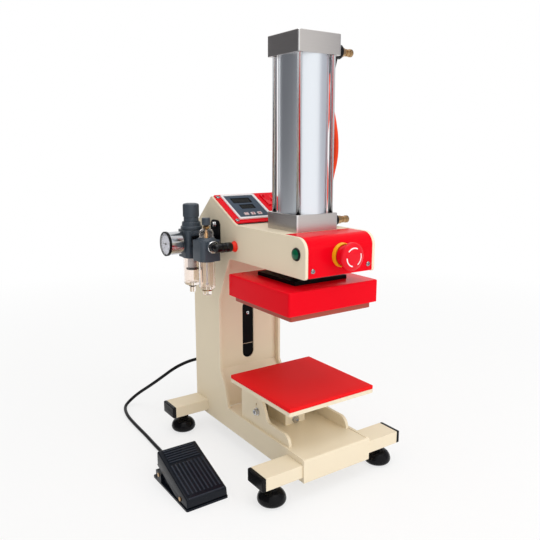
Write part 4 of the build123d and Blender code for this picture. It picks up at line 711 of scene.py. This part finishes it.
# %% Screws
def cut(piece_shape, cutter_shape):
    """A bmesh with another cut out of it."""
    holder, tool = (linked(name, bpy.data.meshes.new(name)) for name in ("holder", "tool"))
    for one, shape in ((holder, piece_shape), (tool, cutter_shape)):
        shape.to_mesh(one.data)
        shape.free()
    modifier = holder.modifiers.new("cut", "BOOLEAN")
    modifier.object = tool
    modifier.solver = "EXACT"
    result = bmesh.new()
    result.from_object(holder, bpy.context.evaluated_depsgraph_get())
    for one in (holder, tool):
        bpy.data.objects.remove(one)
    return result


screw_radius, screw_height = 3.6, 1.8
long_share, short_share = 0.62, 0.15


def cross_screw(place):
    """A pan-headed screw with a cross slot, drawn standing on the origin and then placed."""
    radius, height = screw_radius, screw_height
    head = turned([(0, -0.4), (radius, -0.4), (radius, height * 0.35), (radius * 0.82, height * 0.8),
                   (radius * 0.5, height), (0, height)], (0, 0, 0), UP, 32)
    for share_x, share_y in ((long_share, short_share), (short_share, long_share)):
        x, y = radius * share_x, radius * share_y
        head = cut(head, block((-x, -y, height * 0.4), (x, y, height * 2.0), place=drawn))
    return moved(head, place)


cover_front = box_mm("head_cover")[0].y
slot_turn = Matrix.Rotation(radians(25), 4, "Z")
screws = [cross_screw(looking(at(x, cover_front, 339.5), FRONT) @ slot_turn) for x in (-51.0, 51.0)]
screws += [cross_screw(panel @ Matrix.Translation(drawn(x, s, 2.0)))
           for x in (-56.5, 56.5) for s in (10.0, 80.0)]
stand_in("casing_screws", joined(*screws), screw_steel)

# %% [markdown]
# ## Clamp bolts
# The table is clamped by two socket-headed bolts with washers. Their hexagon sockets are cut the same way.

# %% Clamp bolts
def socket_bolt(spot, outward):
    """A socket-headed bolt on its washer, seated at a place and looking outward."""
    head = turned([(0, 0), (6.2, 0), (6.2, 1.3), (5.0, 1.5), (4.8, 1.5), (4.8, 5.4), (4.3, 6.0), (0, 6.0)],
                  (0, 0, 0), UP, 40)
    socket = turned([(0, 3.0), (2.6, 3.0), (2.6, 8.0), (0, 8.0)], (0, 0, 0), UP, 6)
    return moved(cut(head, socket), looking(spot, outward))


cheek_face = box_mm("table_cradle")[0].x
bolts = joined(socket_bolt(at(cheek_face, 36.0, 88.5), LEFT), socket_bolt(at(0, 13.0, 69.5), FRONT))
stand_in("clamp_bolts", bolts, steel)

# %% [markdown]
# ## Slot in the column
# Behind the slot lies a black plate. A thin bright rule crosses it low down, and a small square nut shows
# near its middle.

# %% Slot details
slot_face = box_mm("slot_plate")[0].y
nut_face, nut_height = slot_face - 1.6, 216.8
rule = block((-11.0, slot_face - 0.3, 159.4), (11.0, slot_face + 0.2, 160.6))
piece_from("slot_rule", rule, bright_steel, "steel")
nut = block((-2.6, nut_face, 214.0), (2.6, slot_face + 0.2, 219.5), 0.4)
nut = cut(nut, turned([(0, -3), (1.3, -3), (1.3, 3), (0, 3)], at(0, nut_face, nut_height), FRONT, 20))
piece_from("slot_nut", nut, bright_steel, "steel")

# %% [markdown]
# ## Painting faces of one solid
# Some solids are one piece in CAD but two finishes on the real machine, such as a valve with a black body
# and a brass cone. A small test on each face's middle, in millimetres, picks which finish it gets.

# %% Faces by place
def paint_where(piece, index, test):
    """Gives the faces whose middle passes a test of (x, y, height) in millimetres another material index."""
    count = 0
    for face in piece.data.polygons:
        spot = face.center / MM
        if test(spot.x, spot.y, spot.z - floor_z / MM):
            face.material_index = index
            count += 1
    print(piece.name, "faces painted", count)


# %% [markdown]
# ## Speed valves
# Black banjo fittings with brass noses. The knurled brass knobs turn to throttle the air. Knurling at this
# size is a ring of fine flutes, so every second column of a turned knob is pulled inwards.

# %% Flutes
flute_margin = 0.3


def flute(shape, centre, axis, radius, depth, low, high, steps):
    """Pulls every second column of a turned shape inwards between two distances along its axis."""
    along = Vector(axis).normalized()
    side = along.orthogonal().normalized()
    other = along.cross(side)
    for v in shape.verts:
        offset = v.co - centre
        distance = offset.dot(along) / MM
        spread = offset - along * offset.dot(along)
        if low < distance < high and spread.length > (radius - flute_margin) * MM:
            turn = Vector((spread.dot(side), spread.dot(other))).angle_signed(Vector((1, 0)))
            if round(turn / (2 * pi / steps)) % 2 == 0:
                v.co -= spread.normalized() * depth * MM
    return shape


# %% Speed valves
nose_start = 67.3
valves = softened("speed_valves", [black_plastic, brass], 0.35)
paint_where(valves, 1, lambda x, y, h: x > nose_start)
for node in ("speed_screw_lower", "speed_screw_upper"):
    low, high = box_mm(node)
    seat = at(low.x, 0, (low.z + high.z) / 2)
    knob = turned([(0, 0), (2.5, 0), (2.5, 9.2), (5.4, 9.4), (5.4, 10.6), (4.6, 11.0), (4.6, 12.0),
                   (5.4, 12.4), (5.4, 18.0), (5.0, 18.2), (5.0, 18.8), (5.8, 19.2), (5.8, 23.9), (5.2, 24.5),
                   (2.2, 24.5), (2.0, 23.6), (0, 23.6)], seat, RIGHT)
    stand_in(node, flute(knob, seat, RIGHT, 5.7, 0.35, 18.9, 24.2, 48), brass, crease=40)

# %% [markdown]
# ## Regulator
# A slate casting with a tall fluted knob. The casting's upper part is round where the diaphragm sits, and
# its lower part is square with soft corners.

# %% Regulator
unit_x, regulator_y, oiler_y, port_height = -97.0, 178.0, 126.0, 351.0
softened("regulator_body", slate, 1.4, 3)
lathe("regulator_bell", slate, "slate_plastic", [
    (14.0, 0), (18.4, 0.6), (18.9, 2.0), (18.9, 8.5), (18.2, 10.2), (17.2, 11.4), (17.2, 13.4), (18.0, 14.0),
    (18.0, 17.4), (17.3, 18.4), (15.8, 19.0), (15.4, 24.6), (14.8, 25.4), (13.9, 25.4), (13.9, 19.0),
    (10.7, 19.0)], at(unit_x, regulator_y, 359.4), steps=64)
knob_low, knob_high = box_mm("regulator_knob")
tall, skirt, foot = knob_high.z - knob_low.z, 14.5, at(unit_x, regulator_y, knob_low.z)
knob = turned([
    (10.6, 0), (12.3, 0), (12.5, 0.6), (12.5, skirt - 1.5), (12.1, skirt - 1.0), (12.1, skirt - 0.4),
    (13.3, skirt), (13.5, skirt + 0.8), (13.5, tall - 3.4), (13.2, tall - 1.6), (12.2, tall - 0.5),
    (10.8, tall), (9.6, tall - 0.05), (9.4, tall - 0.6), (0, tall - 0.6)], foot, UP, 96)
knob = flute(knob, foot, UP, 13.5, 0.45, skirt + 0.5, tall - 3.0, 96)
stand_in("regulator_knob", knob, slate, crease=45)

# %% [markdown]
# ## Oiler
# The oiler's top is a clear sight dome on the casting, a brass neck and a small fluted knob. The CAD body
# holds all of these in one solid, so its copy is cut off below the dome and the dome is turned as clear
# plastic, with the drip tube inside it.

# %% Oiler
oiler_top = 364.5
body = merged_copy("lubricator_body")
bmesh.ops.bisect_plane(body, geom=body.verts[:] + body.edges[:] + body.faces[:], dist=0.000001,
                       plane_co=at(0, 0, oiler_top - 0.05), plane_no=(0, 0, 1), clear_outer=True)
bmesh.ops.holes_fill(body, edges=[e for e in body.edges if e.is_boundary], sides=0)
rounded(stand_in("lubricator_body", body, slate), 1.2, 3, 32)
lathe("oiler_sight", bowl_clear, "clear_plastic", [
    (0, 0.1), (11.3, 0.1), (11.6, 0.8), (11.6, 6.0), (11.1, 9.4), (9.6, 11.8), (7.0, 13.2), (0, 13.5)],
    at(unit_x, oiler_y, oiler_top), crease=50)
lathe("oiler_drip_tube", brass, "brass", [
    (0, 0.3), (2.1, 0.3), (2.1, 6.5), (1.3, 8.5), (1.3, 13.2), (0, 13.2)],
    at(unit_x, oiler_y, oiler_top), steps=24)
lathe("oiler_neck_nut", brass, "brass", [
    (1.6, 0), (5.4, 0), (6.0, 0.8), (6.0, 3.2), (5.2, 4.0), (4.6, 5.6), (1.6, 5.6), (1.6, 0)],
    at(unit_x, oiler_y, 378.3), steps=6)
foot = at(unit_x, oiler_y, box_mm("lubricator_knob")[0].z)
small = turned([(1.5, 0), (1.5, 8.2), (6.4, 8.3), (6.8, 8.8), (6.8, 18.6), (6.2, 19.8), (4.8, 20.0),
                (0, 20.0)], foot, UP)
small = flute(small, foot, UP, 6.8, 0.45, 8.6, 19.0, 48)
stand_in("lubricator_knob", small, slate, crease=45)

# %% [markdown]
# ## Bracket screw
# A plated screw with a washer holds the bracket's upper end to the side plate.

# %% Bracket screw
fixing = turned([(0, -1.0), (5.2, -1.0), (5.2, 0.2), (4.9, 1.0), (3.9, 1.1), (3.9, 3.4), (3.4, 4.2),
                 (0, 4.3)], (0, 0, 0), UP, 32)
fixing = cut(fixing, turned([(0, 2.0), (2.0, 2.0), (2.0, 6.0), (0, 6.0)], (0, 0, 0), UP, 6))
moved(fixing, looking(at(-67.0, (regulator_y + oiler_y) / 2, 381.0), LEFT))
piece_from("bracket_screw", fixing, bright_steel, "steel")

# %% [markdown]
# ## Bowls
# Both bowls are clear cups held by a slate ring. Inside the first sits a pale filter element over a black
# baffle, and inside the second a thin tube that draws up the oil. A clear cup with nothing in it looks
# fake, so these are worth their few faces.

# %% Bowls
for node, y, nub, nub_height, seal_look, seal_slot in (
        ("filter_bowl", regulator_y, 5.0, 12.0, black_plastic, "black_plastic"),
        ("lubricator_bowl", oiler_y, 7.0, 9.0, brass, "brass")):
    softened(node, bowl_clear, 0.0, crease=35)
    low, high = box_mm(node)
    bowl = (high.x - low.x) / 2
    lathe(node + "_ring", slate, "slate_plastic", [
        (bowl + 0.1, 0), (bowl + 1.0, 0), (bowl + 1.6, 0.6), (bowl + 1.6, 2.4), (bowl + 0.1, 2.4),
        (bowl + 0.1, 0)], at(unit_x, y, high.z - 1.6))
    lathe(node + "_drain_ring", seal_look, seal_slot, [
        (nub + 0.05, 0), (nub + 1.7, 0.3), (nub + 2.0, 1.0), (nub + 1.7, 2.0), (nub + 0.05, 2.3),
        (nub + 0.05, 0)], at(unit_x, y, low.z + nub_height - 2.4), steps=32)
lathe("filter_element", dial_white, "white_plastic", [
    (0, 0), (7.2, 0), (7.4, 0.6), (7.4, 17.0), (0, 17.0)], at(unit_x, regulator_y, 307.5), steps=40)
lathe("filter_baffle", black_plastic, "black_plastic", [
    (0, 0), (9.5, 0), (10.6, 1.2), (10.6, 2.4), (6.0, 3.4), (0, 3.4)],
    at(unit_x, regulator_y, 303.8), steps=40)
lathe("oiler_siphon", dial_white, "white_plastic", [
    (0, 0), (2.4, 0), (2.4, 3.0), (1.2, 4.2), (1.2, 37.0), (3.6, 39.0), (3.6, 41.0), (0, 41.0)],
    at(unit_x, oiler_y, 286.0), steps=24)

# %% [markdown]
# ## Pressure gauge
# A chromed case, a black bezel and a white dial under a lens. The scale runs over 270 degrees, with a long
# stroke at every unit and a figure at every second one. Figures on a dial are plain numbers, made from
# Blender's own font and turned to a mesh before they are put in place.

# %% Gauge case
gauge = softened("gauge_case", [chrome, black_plastic, dial_white], 0.4, 3)
gauge_front = box_mm("gauge_case")[0].x
bezel_back, dial_x, near = gauge_front + 4.0, gauge_front + 2.6, 0.05
paint_where(gauge, 1, lambda x, y, h: x < bezel_back + near)
paint_where(gauge, 2, lambda x, y, h: abs(x - dial_x) < near)
lathe("gauge_lens", lens_clear, "clear_plastic", [(0, 0), (17.9, 0), (17.9, 0.5), (0, 0.5)],
      at(gauge_front + 0.15, regulator_y, port_height), RIGHT, 64)
nodes["gauge_needle"].data.materials.clear()
nodes["gauge_needle"].data.materials.append(dial_black)


# %% Gauge scale
def on_dial(shape):
    """Lays a bmesh drawn flat in millimetres about the dial's middle onto the dial, which looks left."""
    facing = Matrix(((0, 0, -1), (-1, 0, 0), (0, 1, 0))).to_4x4()
    spot = Matrix.Translation(at(dial_x, regulator_y, port_height))
    return moved(shape, spot @ facing @ Matrix.Scale(MM, 4))


def tick(turn, inner, width):
    """One stroke of the scale, from an inner radius out to its rim."""
    shape = bmesh.new()
    bmesh.ops.create_cube(shape, size=1.0)
    bmesh.ops.scale(shape, vec=(scale_rim - inner, width, 0.12), verts=shape.verts)
    bmesh.ops.translate(shape, vec=((inner + scale_rim) / 2, 0, 0.05), verts=shape.verts)
    return on_dial(moved(shape, Matrix.Rotation(radians(turn), 4, "Z")))


units, strokes_per_unit = 10, 5
scale_start, scale_sweep, scale_rim, figure_radius = 225.0, 270.0, 16.2, 10.6
ticks = []
for i in range(units * strokes_per_unit + 1):
    turn = scale_start - scale_sweep * i / (units * strokes_per_unit)
    ticks.append(tick(turn, 13.4, 0.42) if i % strokes_per_unit == 0 else tick(turn, 14.6, 0.2))
piece_from("gauge_ticks", joined(*ticks), dial_black, "black_plastic")

figures = []
for value in range(0, units + 1, 2):
    turn = radians(scale_start - scale_sweep * value / units)
    words = bpy.data.curves.new("figure", "FONT")
    words.body = str(value)
    words.size = 3.4
    words.align_x, words.align_y = "CENTER", "CENTER"
    words.extrude = 0.05
    holder = linked("figure", words)
    letters = bpy.data.meshes.new_from_object(holder.evaluated_get(bpy.context.evaluated_depsgraph_get()))
    outline = bmesh.new()
    outline.from_mesh(letters)
    bpy.data.objects.remove(holder)
    ring_place = Matrix.Translation((figure_radius * cos(turn), figure_radius * sin(turn), 0.06))
    figures.append(on_dial(moved(outline, ring_place)))
piece_from("gauge_figures", joined(*figures), dial_black, "black_plastic")
print("gauge figures", len(figures), "strokes", len(ticks))

# %% [markdown]
# ## Air outlet
# From the oiler's front port a black push-in elbow turns to the side plate, where its orange-red ring ends
# in a flare. A bright ring seals the port.

# %% Outlet elbow
port_face, elbow_y, elbow_radius = 104.0, 91.5, 7.0
arm_front = turned([(4, 0), (7.0, 0), (7.0, 3.2), (6.2, 3.8), (6.2, 5.0), (7.0, 5.6), (7.0, 12.5)],
                   at(unit_x, port_face, port_height), FRONT, 40)
ball = bmesh.new()
bmesh.ops.create_uvsphere(ball, u_segments=32, v_segments=20, radius=elbow_radius * MM)
moved(ball, Matrix.Translation(at(unit_x, elbow_y, port_height)))
arm_right = turned([(7.0, 0), (7.0, 7.0), (7.9, 7.6), (7.9, 11.4), (7.0, 12.0), (6.4, 12.4), (6.4, 14.2),
                    (7.4, 14.8), (7.8, 16.0), (7.8, 24.0), (7.0, 25.6), (4.0, 26.0)],
                   at(unit_x, elbow_y, port_height), RIGHT, 40)
stem = turned([(4.0, 0), (4.0, 16.0), (0, 16.0)], at(-72.0, elbow_y, port_height), RIGHT, 24)
stand_in("outlet_elbow", joined(arm_front, ball, arm_right, stem), gloss_black, crease=40)
lathe("outlet_release_ring", release_red, "red_plastic", [
    (4.2, 0), (6.2, 0), (6.8, 0.8), (7.2, 2.6), (8.9, 5.6), (9.1, 6.4), (8.6, 7.0), (4.2, 7.0), (4.2, 0)],
    at(-71.3, elbow_y, port_height), RIGHT, 40)
lathe("outlet_seal_ring", bright_steel, "steel", [
    (7.2, 0), (9.2, 0), (9.8, 0.8), (9.8, 1.6), (9.0, 2.4), (7.2, 2.4), (7.2, 0)],
    at(unit_x, port_face + 0.1, port_height), FRONT, 40)

# %% [markdown]
# ## Foot pedal
# The pedal is a black moulding. Its top is ribbed in two fields, and the ribs are real in the solid. The
# copy gets rounder outer corners, and its rib tops are painted paler as painted light: lit tops against
# shaded grooves. Dull brass heads close the pins on its sides. The spring under the treadle gets a mesh of
# its own.

# %% Pedal
tread = merged_copy("pedal_treadle")
tread_low, tread_high = (corner * MM for corner in box_mm("pedal_treadle"))
side_gap, shortest, corner_round, rib_rise = 0.05 * MM, 0.2 * MM, 2.2 * MM, 0.3 * MM


def is_outer_corner(edge):
    """Whether an edge lies between a side of the treadle and its front, top or back."""
    on_side = [min(v.co.x - tread_low.x, tread_high.x - v.co.x) < side_gap for v in edge.verts]
    across = [face for face in edge.link_faces if abs(face.normal.x) < 0.1 and face.normal.z > -0.1]
    beside = [face for face in edge.link_faces if abs(face.normal.x) > 0.9]
    return all(on_side) and len(across) == 1 and len(beside) == 1


corners = [edge for edge in tread.edges if is_outer_corner(edge) and edge.calc_length() > shortest]
bmesh.ops.bevel(tread, geom=corners, offset=corner_round, segments=4, profile=0.5, affect="EDGES",
                material=-1)
treadle = stand_in("pedal_treadle", tread, [pedal_plastic, rib_top_highlight_plastic])
top_face = max(treadle.data.polygons, key=lambda face: face.area * (face.normal.z > 0.9))
# The rib tops get the paler plastic: painted light, lit tops against shaded grooves.
for face in treadle.data.polygons:
    rise = (face.center - top_face.center).dot(top_face.normal)
    if rise > rib_rise and face.normal.dot(top_face.normal) > 0.99:
        face.material_index = 1
rounded(treadle, 0.3)
print("treadle corners", len(corners), "vertices", len(treadle.data.vertices))
softened("pedal_base", pedal_plastic, 0.6)
softened("pedal_pins", brass, 0.15)
coil = softened("pedal_spring", spring_steel, 0.0, crease=60)
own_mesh(coil)

# %% [markdown]
# ## Back fittings
# The mains inlet and the gland are black mouldings. The inlet's three pins are brass.

# %% Back fittings
inlet = softened("mains_inlet", [black_plastic, brass], 0.3)
inlet_low, inlet_high = box_mm("mains_inlet")
pins_from, pins_to = inlet_low.y + 2.0, inlet_high.y - 4.0
pin_places, pin_reach_x, pin_reach_z = ((17.0, 68.0), (24.0, 72.0), (31.0, 68.0)), 1.2, 2.2
paint_where(inlet, 1, lambda x, y, h: pins_from < y < pins_to and any(
    abs(x - px) < pin_reach_x and abs(h - ph) < pin_reach_z for px, ph in pin_places))
softened("cable_gland", black_plastic, 0.5)

# %% [markdown]
# ## Hoses and cable
# Two orange-red air hoses serve the cylinder and a black cable leads to the pedal. Each is a curve along the
# same points as its solid, with a NURBS spline that runs smoothly between its ends.

# %% Cords
def run_cord(node, route, radius, look):
    """A round cord along a route in millimetres, which stands for its CAD node."""
    curve = bpy.data.curves.new(node + "_shown", "CURVE")
    curve.dimensions = "3D"
    spline = curve.splines.new("NURBS")
    spline.points.add(len(route) - 1)
    for point, place in zip(spline.points, route):
        point.co = (*at(*place), 1.0)
    spline.order_u = 3
    spline.use_endpoint_u = True
    curve.resolution_u = 12
    curve.bevel_depth = radius * MM
    curve.bevel_resolution = 7
    curve.use_fill_caps = True
    piece = show(node + "_shown", curve, look, slot_of[node], "stand", node)


run_cord("air_tube_upper", [
    (56.0, 10.0, 617.0), (56.0, 15.5, 601.05), (57.0, 11.0, 565.0), (54.0, 16.5, 512.0), (55.0, 12.0, 470.0),
    (55.0, 11.5, 430.0), (54.0, 13.5, 400.0), (54.0, 13.5, 372.0)], 4.0, hose_red)
run_cord("air_tube_lower", [
    (63.0, 20.0, 394.0), (63.0, 46.0, 394.0), (60.0, 64.0, 418.0), (50.0, 72.0, 462.0), (44.0, 73.0, 515.0),
    (42.0, 72.0, 570.7), (50.8, 57.9, 587.3), (63.2, 38.1, 587.3), (72.0, 24.0, 570.7), (71.0, 13.0, 542.0),
    (70.0, 6.5, 516.0), (69.0, 6.0, 490.0), (66.0, 10.0, 466.0), (66.0, 18.0, 440.0), (58.0, 32.0, 416.0),
    (50.0, 38.0, 396.0), (50.0, 38.0, 372.0)], 4.0, hose_red)
run_cord("pedal_cable", [
    (-35.0, 251.0, 108.0), (-35.0, 264.0, 108.0), (-56.0, 279.0, 102.0), (-83.0, 290.0, 90.0),
    (-103.5, 307.0, 69.0), (-119.0, 331.0, 47.0), (-133.0, 357.0, 26.0), (-147.0, 371.0, 8.0),
    (-163.0, 358.0, 3.2), (-173.0, 318.0, 3.2), (-175.0, 271.0, 3.2), (-175.3, 222.0, 3.2),
    (-177.0, 180.0, 3.2), (-177.5, 150.0, 3.2), (-181.0, 127.0, 4.0), (-184.5, 112.0, 7.0),
    (-184.5, 97.0, 7.0)], 3.0, cable_rubber)

# %% [markdown]
# ## Stage
# The press stands on a pale floor against a white background. The floor shows more and more plain white with
# distance, so that no horizon is seen, and near the press it keeps the soft shadow under the feet. Light
# Path gives that white to the camera, to reflections and to clear plastic alike, and never to the light on
# the press.

# %% Floor
def seen_directly(tree):
    """A node that is 1 for rays from the camera, from a reflection or through clear plastic."""
    rays = put(tree, "ShaderNodeLightPath")
    first, both = (put(tree, "ShaderNodeMath", operation="MAXIMUM") for _ in range(2))
    connect(tree, (rays, "Is Camera Ray", first, 0), (rays, "Is Glossy Ray", first, 1), (first, 0, both, 0),
            (rays, "Is Transmission Ray", both, 1))
    return both


def stage_plane(name, corners, look):
    """A flat stage piece between corners in metres."""
    mesh = bpy.data.meshes.new(name)
    mesh.from_pydata(corners, [], [range(len(corners))])
    mesh.materials.append(look)
    piece = linked(name, mesh)
    print("stage piece", name)
    return piece


floor_half, floor_level = 6.0, floor_z - 0.2 * MM
fade_from, fade_to, least_white = 0.45, 1.7, 0.68
floor_look, tree, shader = start_material("pale floor")
fill(shader, Base_Color=(0.92, 0.92, 0.92, 1), Roughness=0.8, Specular_IOR_Level=0.1)
glow = put(tree, "ShaderNodeEmission", Color=(1, 1, 1, 1), Strength=1.0)
blend = put(tree, "ShaderNodeMixShader")
spot = put(tree, "ShaderNodeTexCoord")
distance = put(tree, "ShaderNodeVectorMath", operation="LENGTH")
share = put(tree, "ShaderNodeMapRange", From_Min=fade_from, From_Max=fade_to, To_Min=least_white, To_Max=1.0)
amount = put(tree, "ShaderNodeMath", operation="MULTIPLY")
connect(tree, (spot, "Object", distance, 0), (distance, "Value", share, 0),
        (seen_directly(tree), 0, amount, 0), (share, 0, amount, 1), (amount, 0, blend, 0),
        (shader, 0, blend, 1), (glow, 0, blend, 2), (blend, 0, tree.nodes["Material Output"], "Surface"))
stage_plane("floor", [(x * floor_half, y * floor_half, floor_level)
                      for x, y in ((-1, -1), (1, -1), (1, 1), (-1, 1))], floor_look)

# %% World
world = bpy.data.worlds.new("studio")
bpy.context.scene.world = world
world.use_nodes = True
tree = world.node_tree
ambient = fill(tree.nodes["Background"], Color=(1.0, 0.99, 0.97, 1), Strength=0.63)
print("world", world.name)
white = put(tree, "ShaderNodeBackground", Color=(1, 1, 1, 1), Strength=1.0)
choice = put(tree, "ShaderNodeMixShader")
connect(tree, (seen_directly(tree), 0, choice, 0), (ambient, 0, choice, 1), (white, 0, choice, 2),
        (choice, 0, tree.nodes["World Output"], "Surface"))

# %% [markdown]
# ## Light
# Two large soft lamps, as in a product studio: the key in front and one above. The white room fills the
# rest. The key stays out of reflections, where the room's plain white looks calmer on drawn metal. But in an
# all white room chrome would look white. Photographers stand cards beside shiny metal, so that its sides
# darken and its shape reads. The two cards here, a dark one on the left and a paler one on the right, show
# in reflections only.

# %% Lamps
lit_middle = Vector((0, 0.05, 0.12))


def lamp(name, spot, size, power):
    """A square soft lamp at a place in metres that looks at the middle of the press."""
    light = bpy.data.lights.new(name, "AREA")
    light.shape = "SQUARE"
    light.size = size
    light.energy = power
    holder = linked(name, light)
    holder.location = spot
    holder.rotation_euler = (lit_middle - Vector(spot)).to_track_quat("-Z", "Y").to_euler()
    print("lamp", name, power, "watts")
    return holder


key = lamp("key", (0.35, -1.9, 1.0), 2.4, 22.0)
key.visible_glossy = False
lamp("top", (-0.1, -0.3, 2.1), 1.6, 14.0)

# %% Cards
card_top = 2.6


def card(name, ends, tone):
    """A tall card over two floor points that shows in reflections only, in a plain bluish tone."""
    look, tree, shader = start_material(name)
    fill(shader, Base_Color=(0, 0, 0, 1), Emission_Color=(tone, tone, tone * 1.06, 1), Emission_Strength=1.0,
         Specular_IOR_Level=0.0)
    left, right = ends
    piece = stage_plane(name, [(*left, floor_z), (*right, floor_z), (*right, card_top), (*left, card_top)],
                        look)
    piece.visible_camera = piece.visible_diffuse = False
    piece.visible_transmission = piece.visible_shadow = False


card("grey card", ((-2.6, -1.9), (-0.8, 3.8)), 0.15)
card("pale card", ((1.95, -2.15), (2.6, 1.2)), 0.5)

# %% [markdown]
# ## Camera
# The camera stands where the photographer stood, to the front left and a little above the table.

# %% Camera
camera_spot = Vector((-0.5562, -0.7301, 0.3639))
camera_turn, camera_tilt = radians(34.263), radians(-11.398)
view = Vector((sin(camera_turn) * cos(camera_tilt), cos(camera_turn) * cos(camera_tilt), sin(camera_tilt)))
camera = bpy.data.cameras.new("camera")
camera.sensor_width = 36.0
camera.lens = 40.40
holder = linked("camera", camera)
holder.location = camera_spot
holder.rotation_euler = view.to_track_quat("-Z", "Y").to_euler()
bpy.context.scene.camera = holder
bpy.context.scene.view_settings.view_transform = "Standard"
print("lens", round(camera.lens, 2), "mm at", camera_spot)
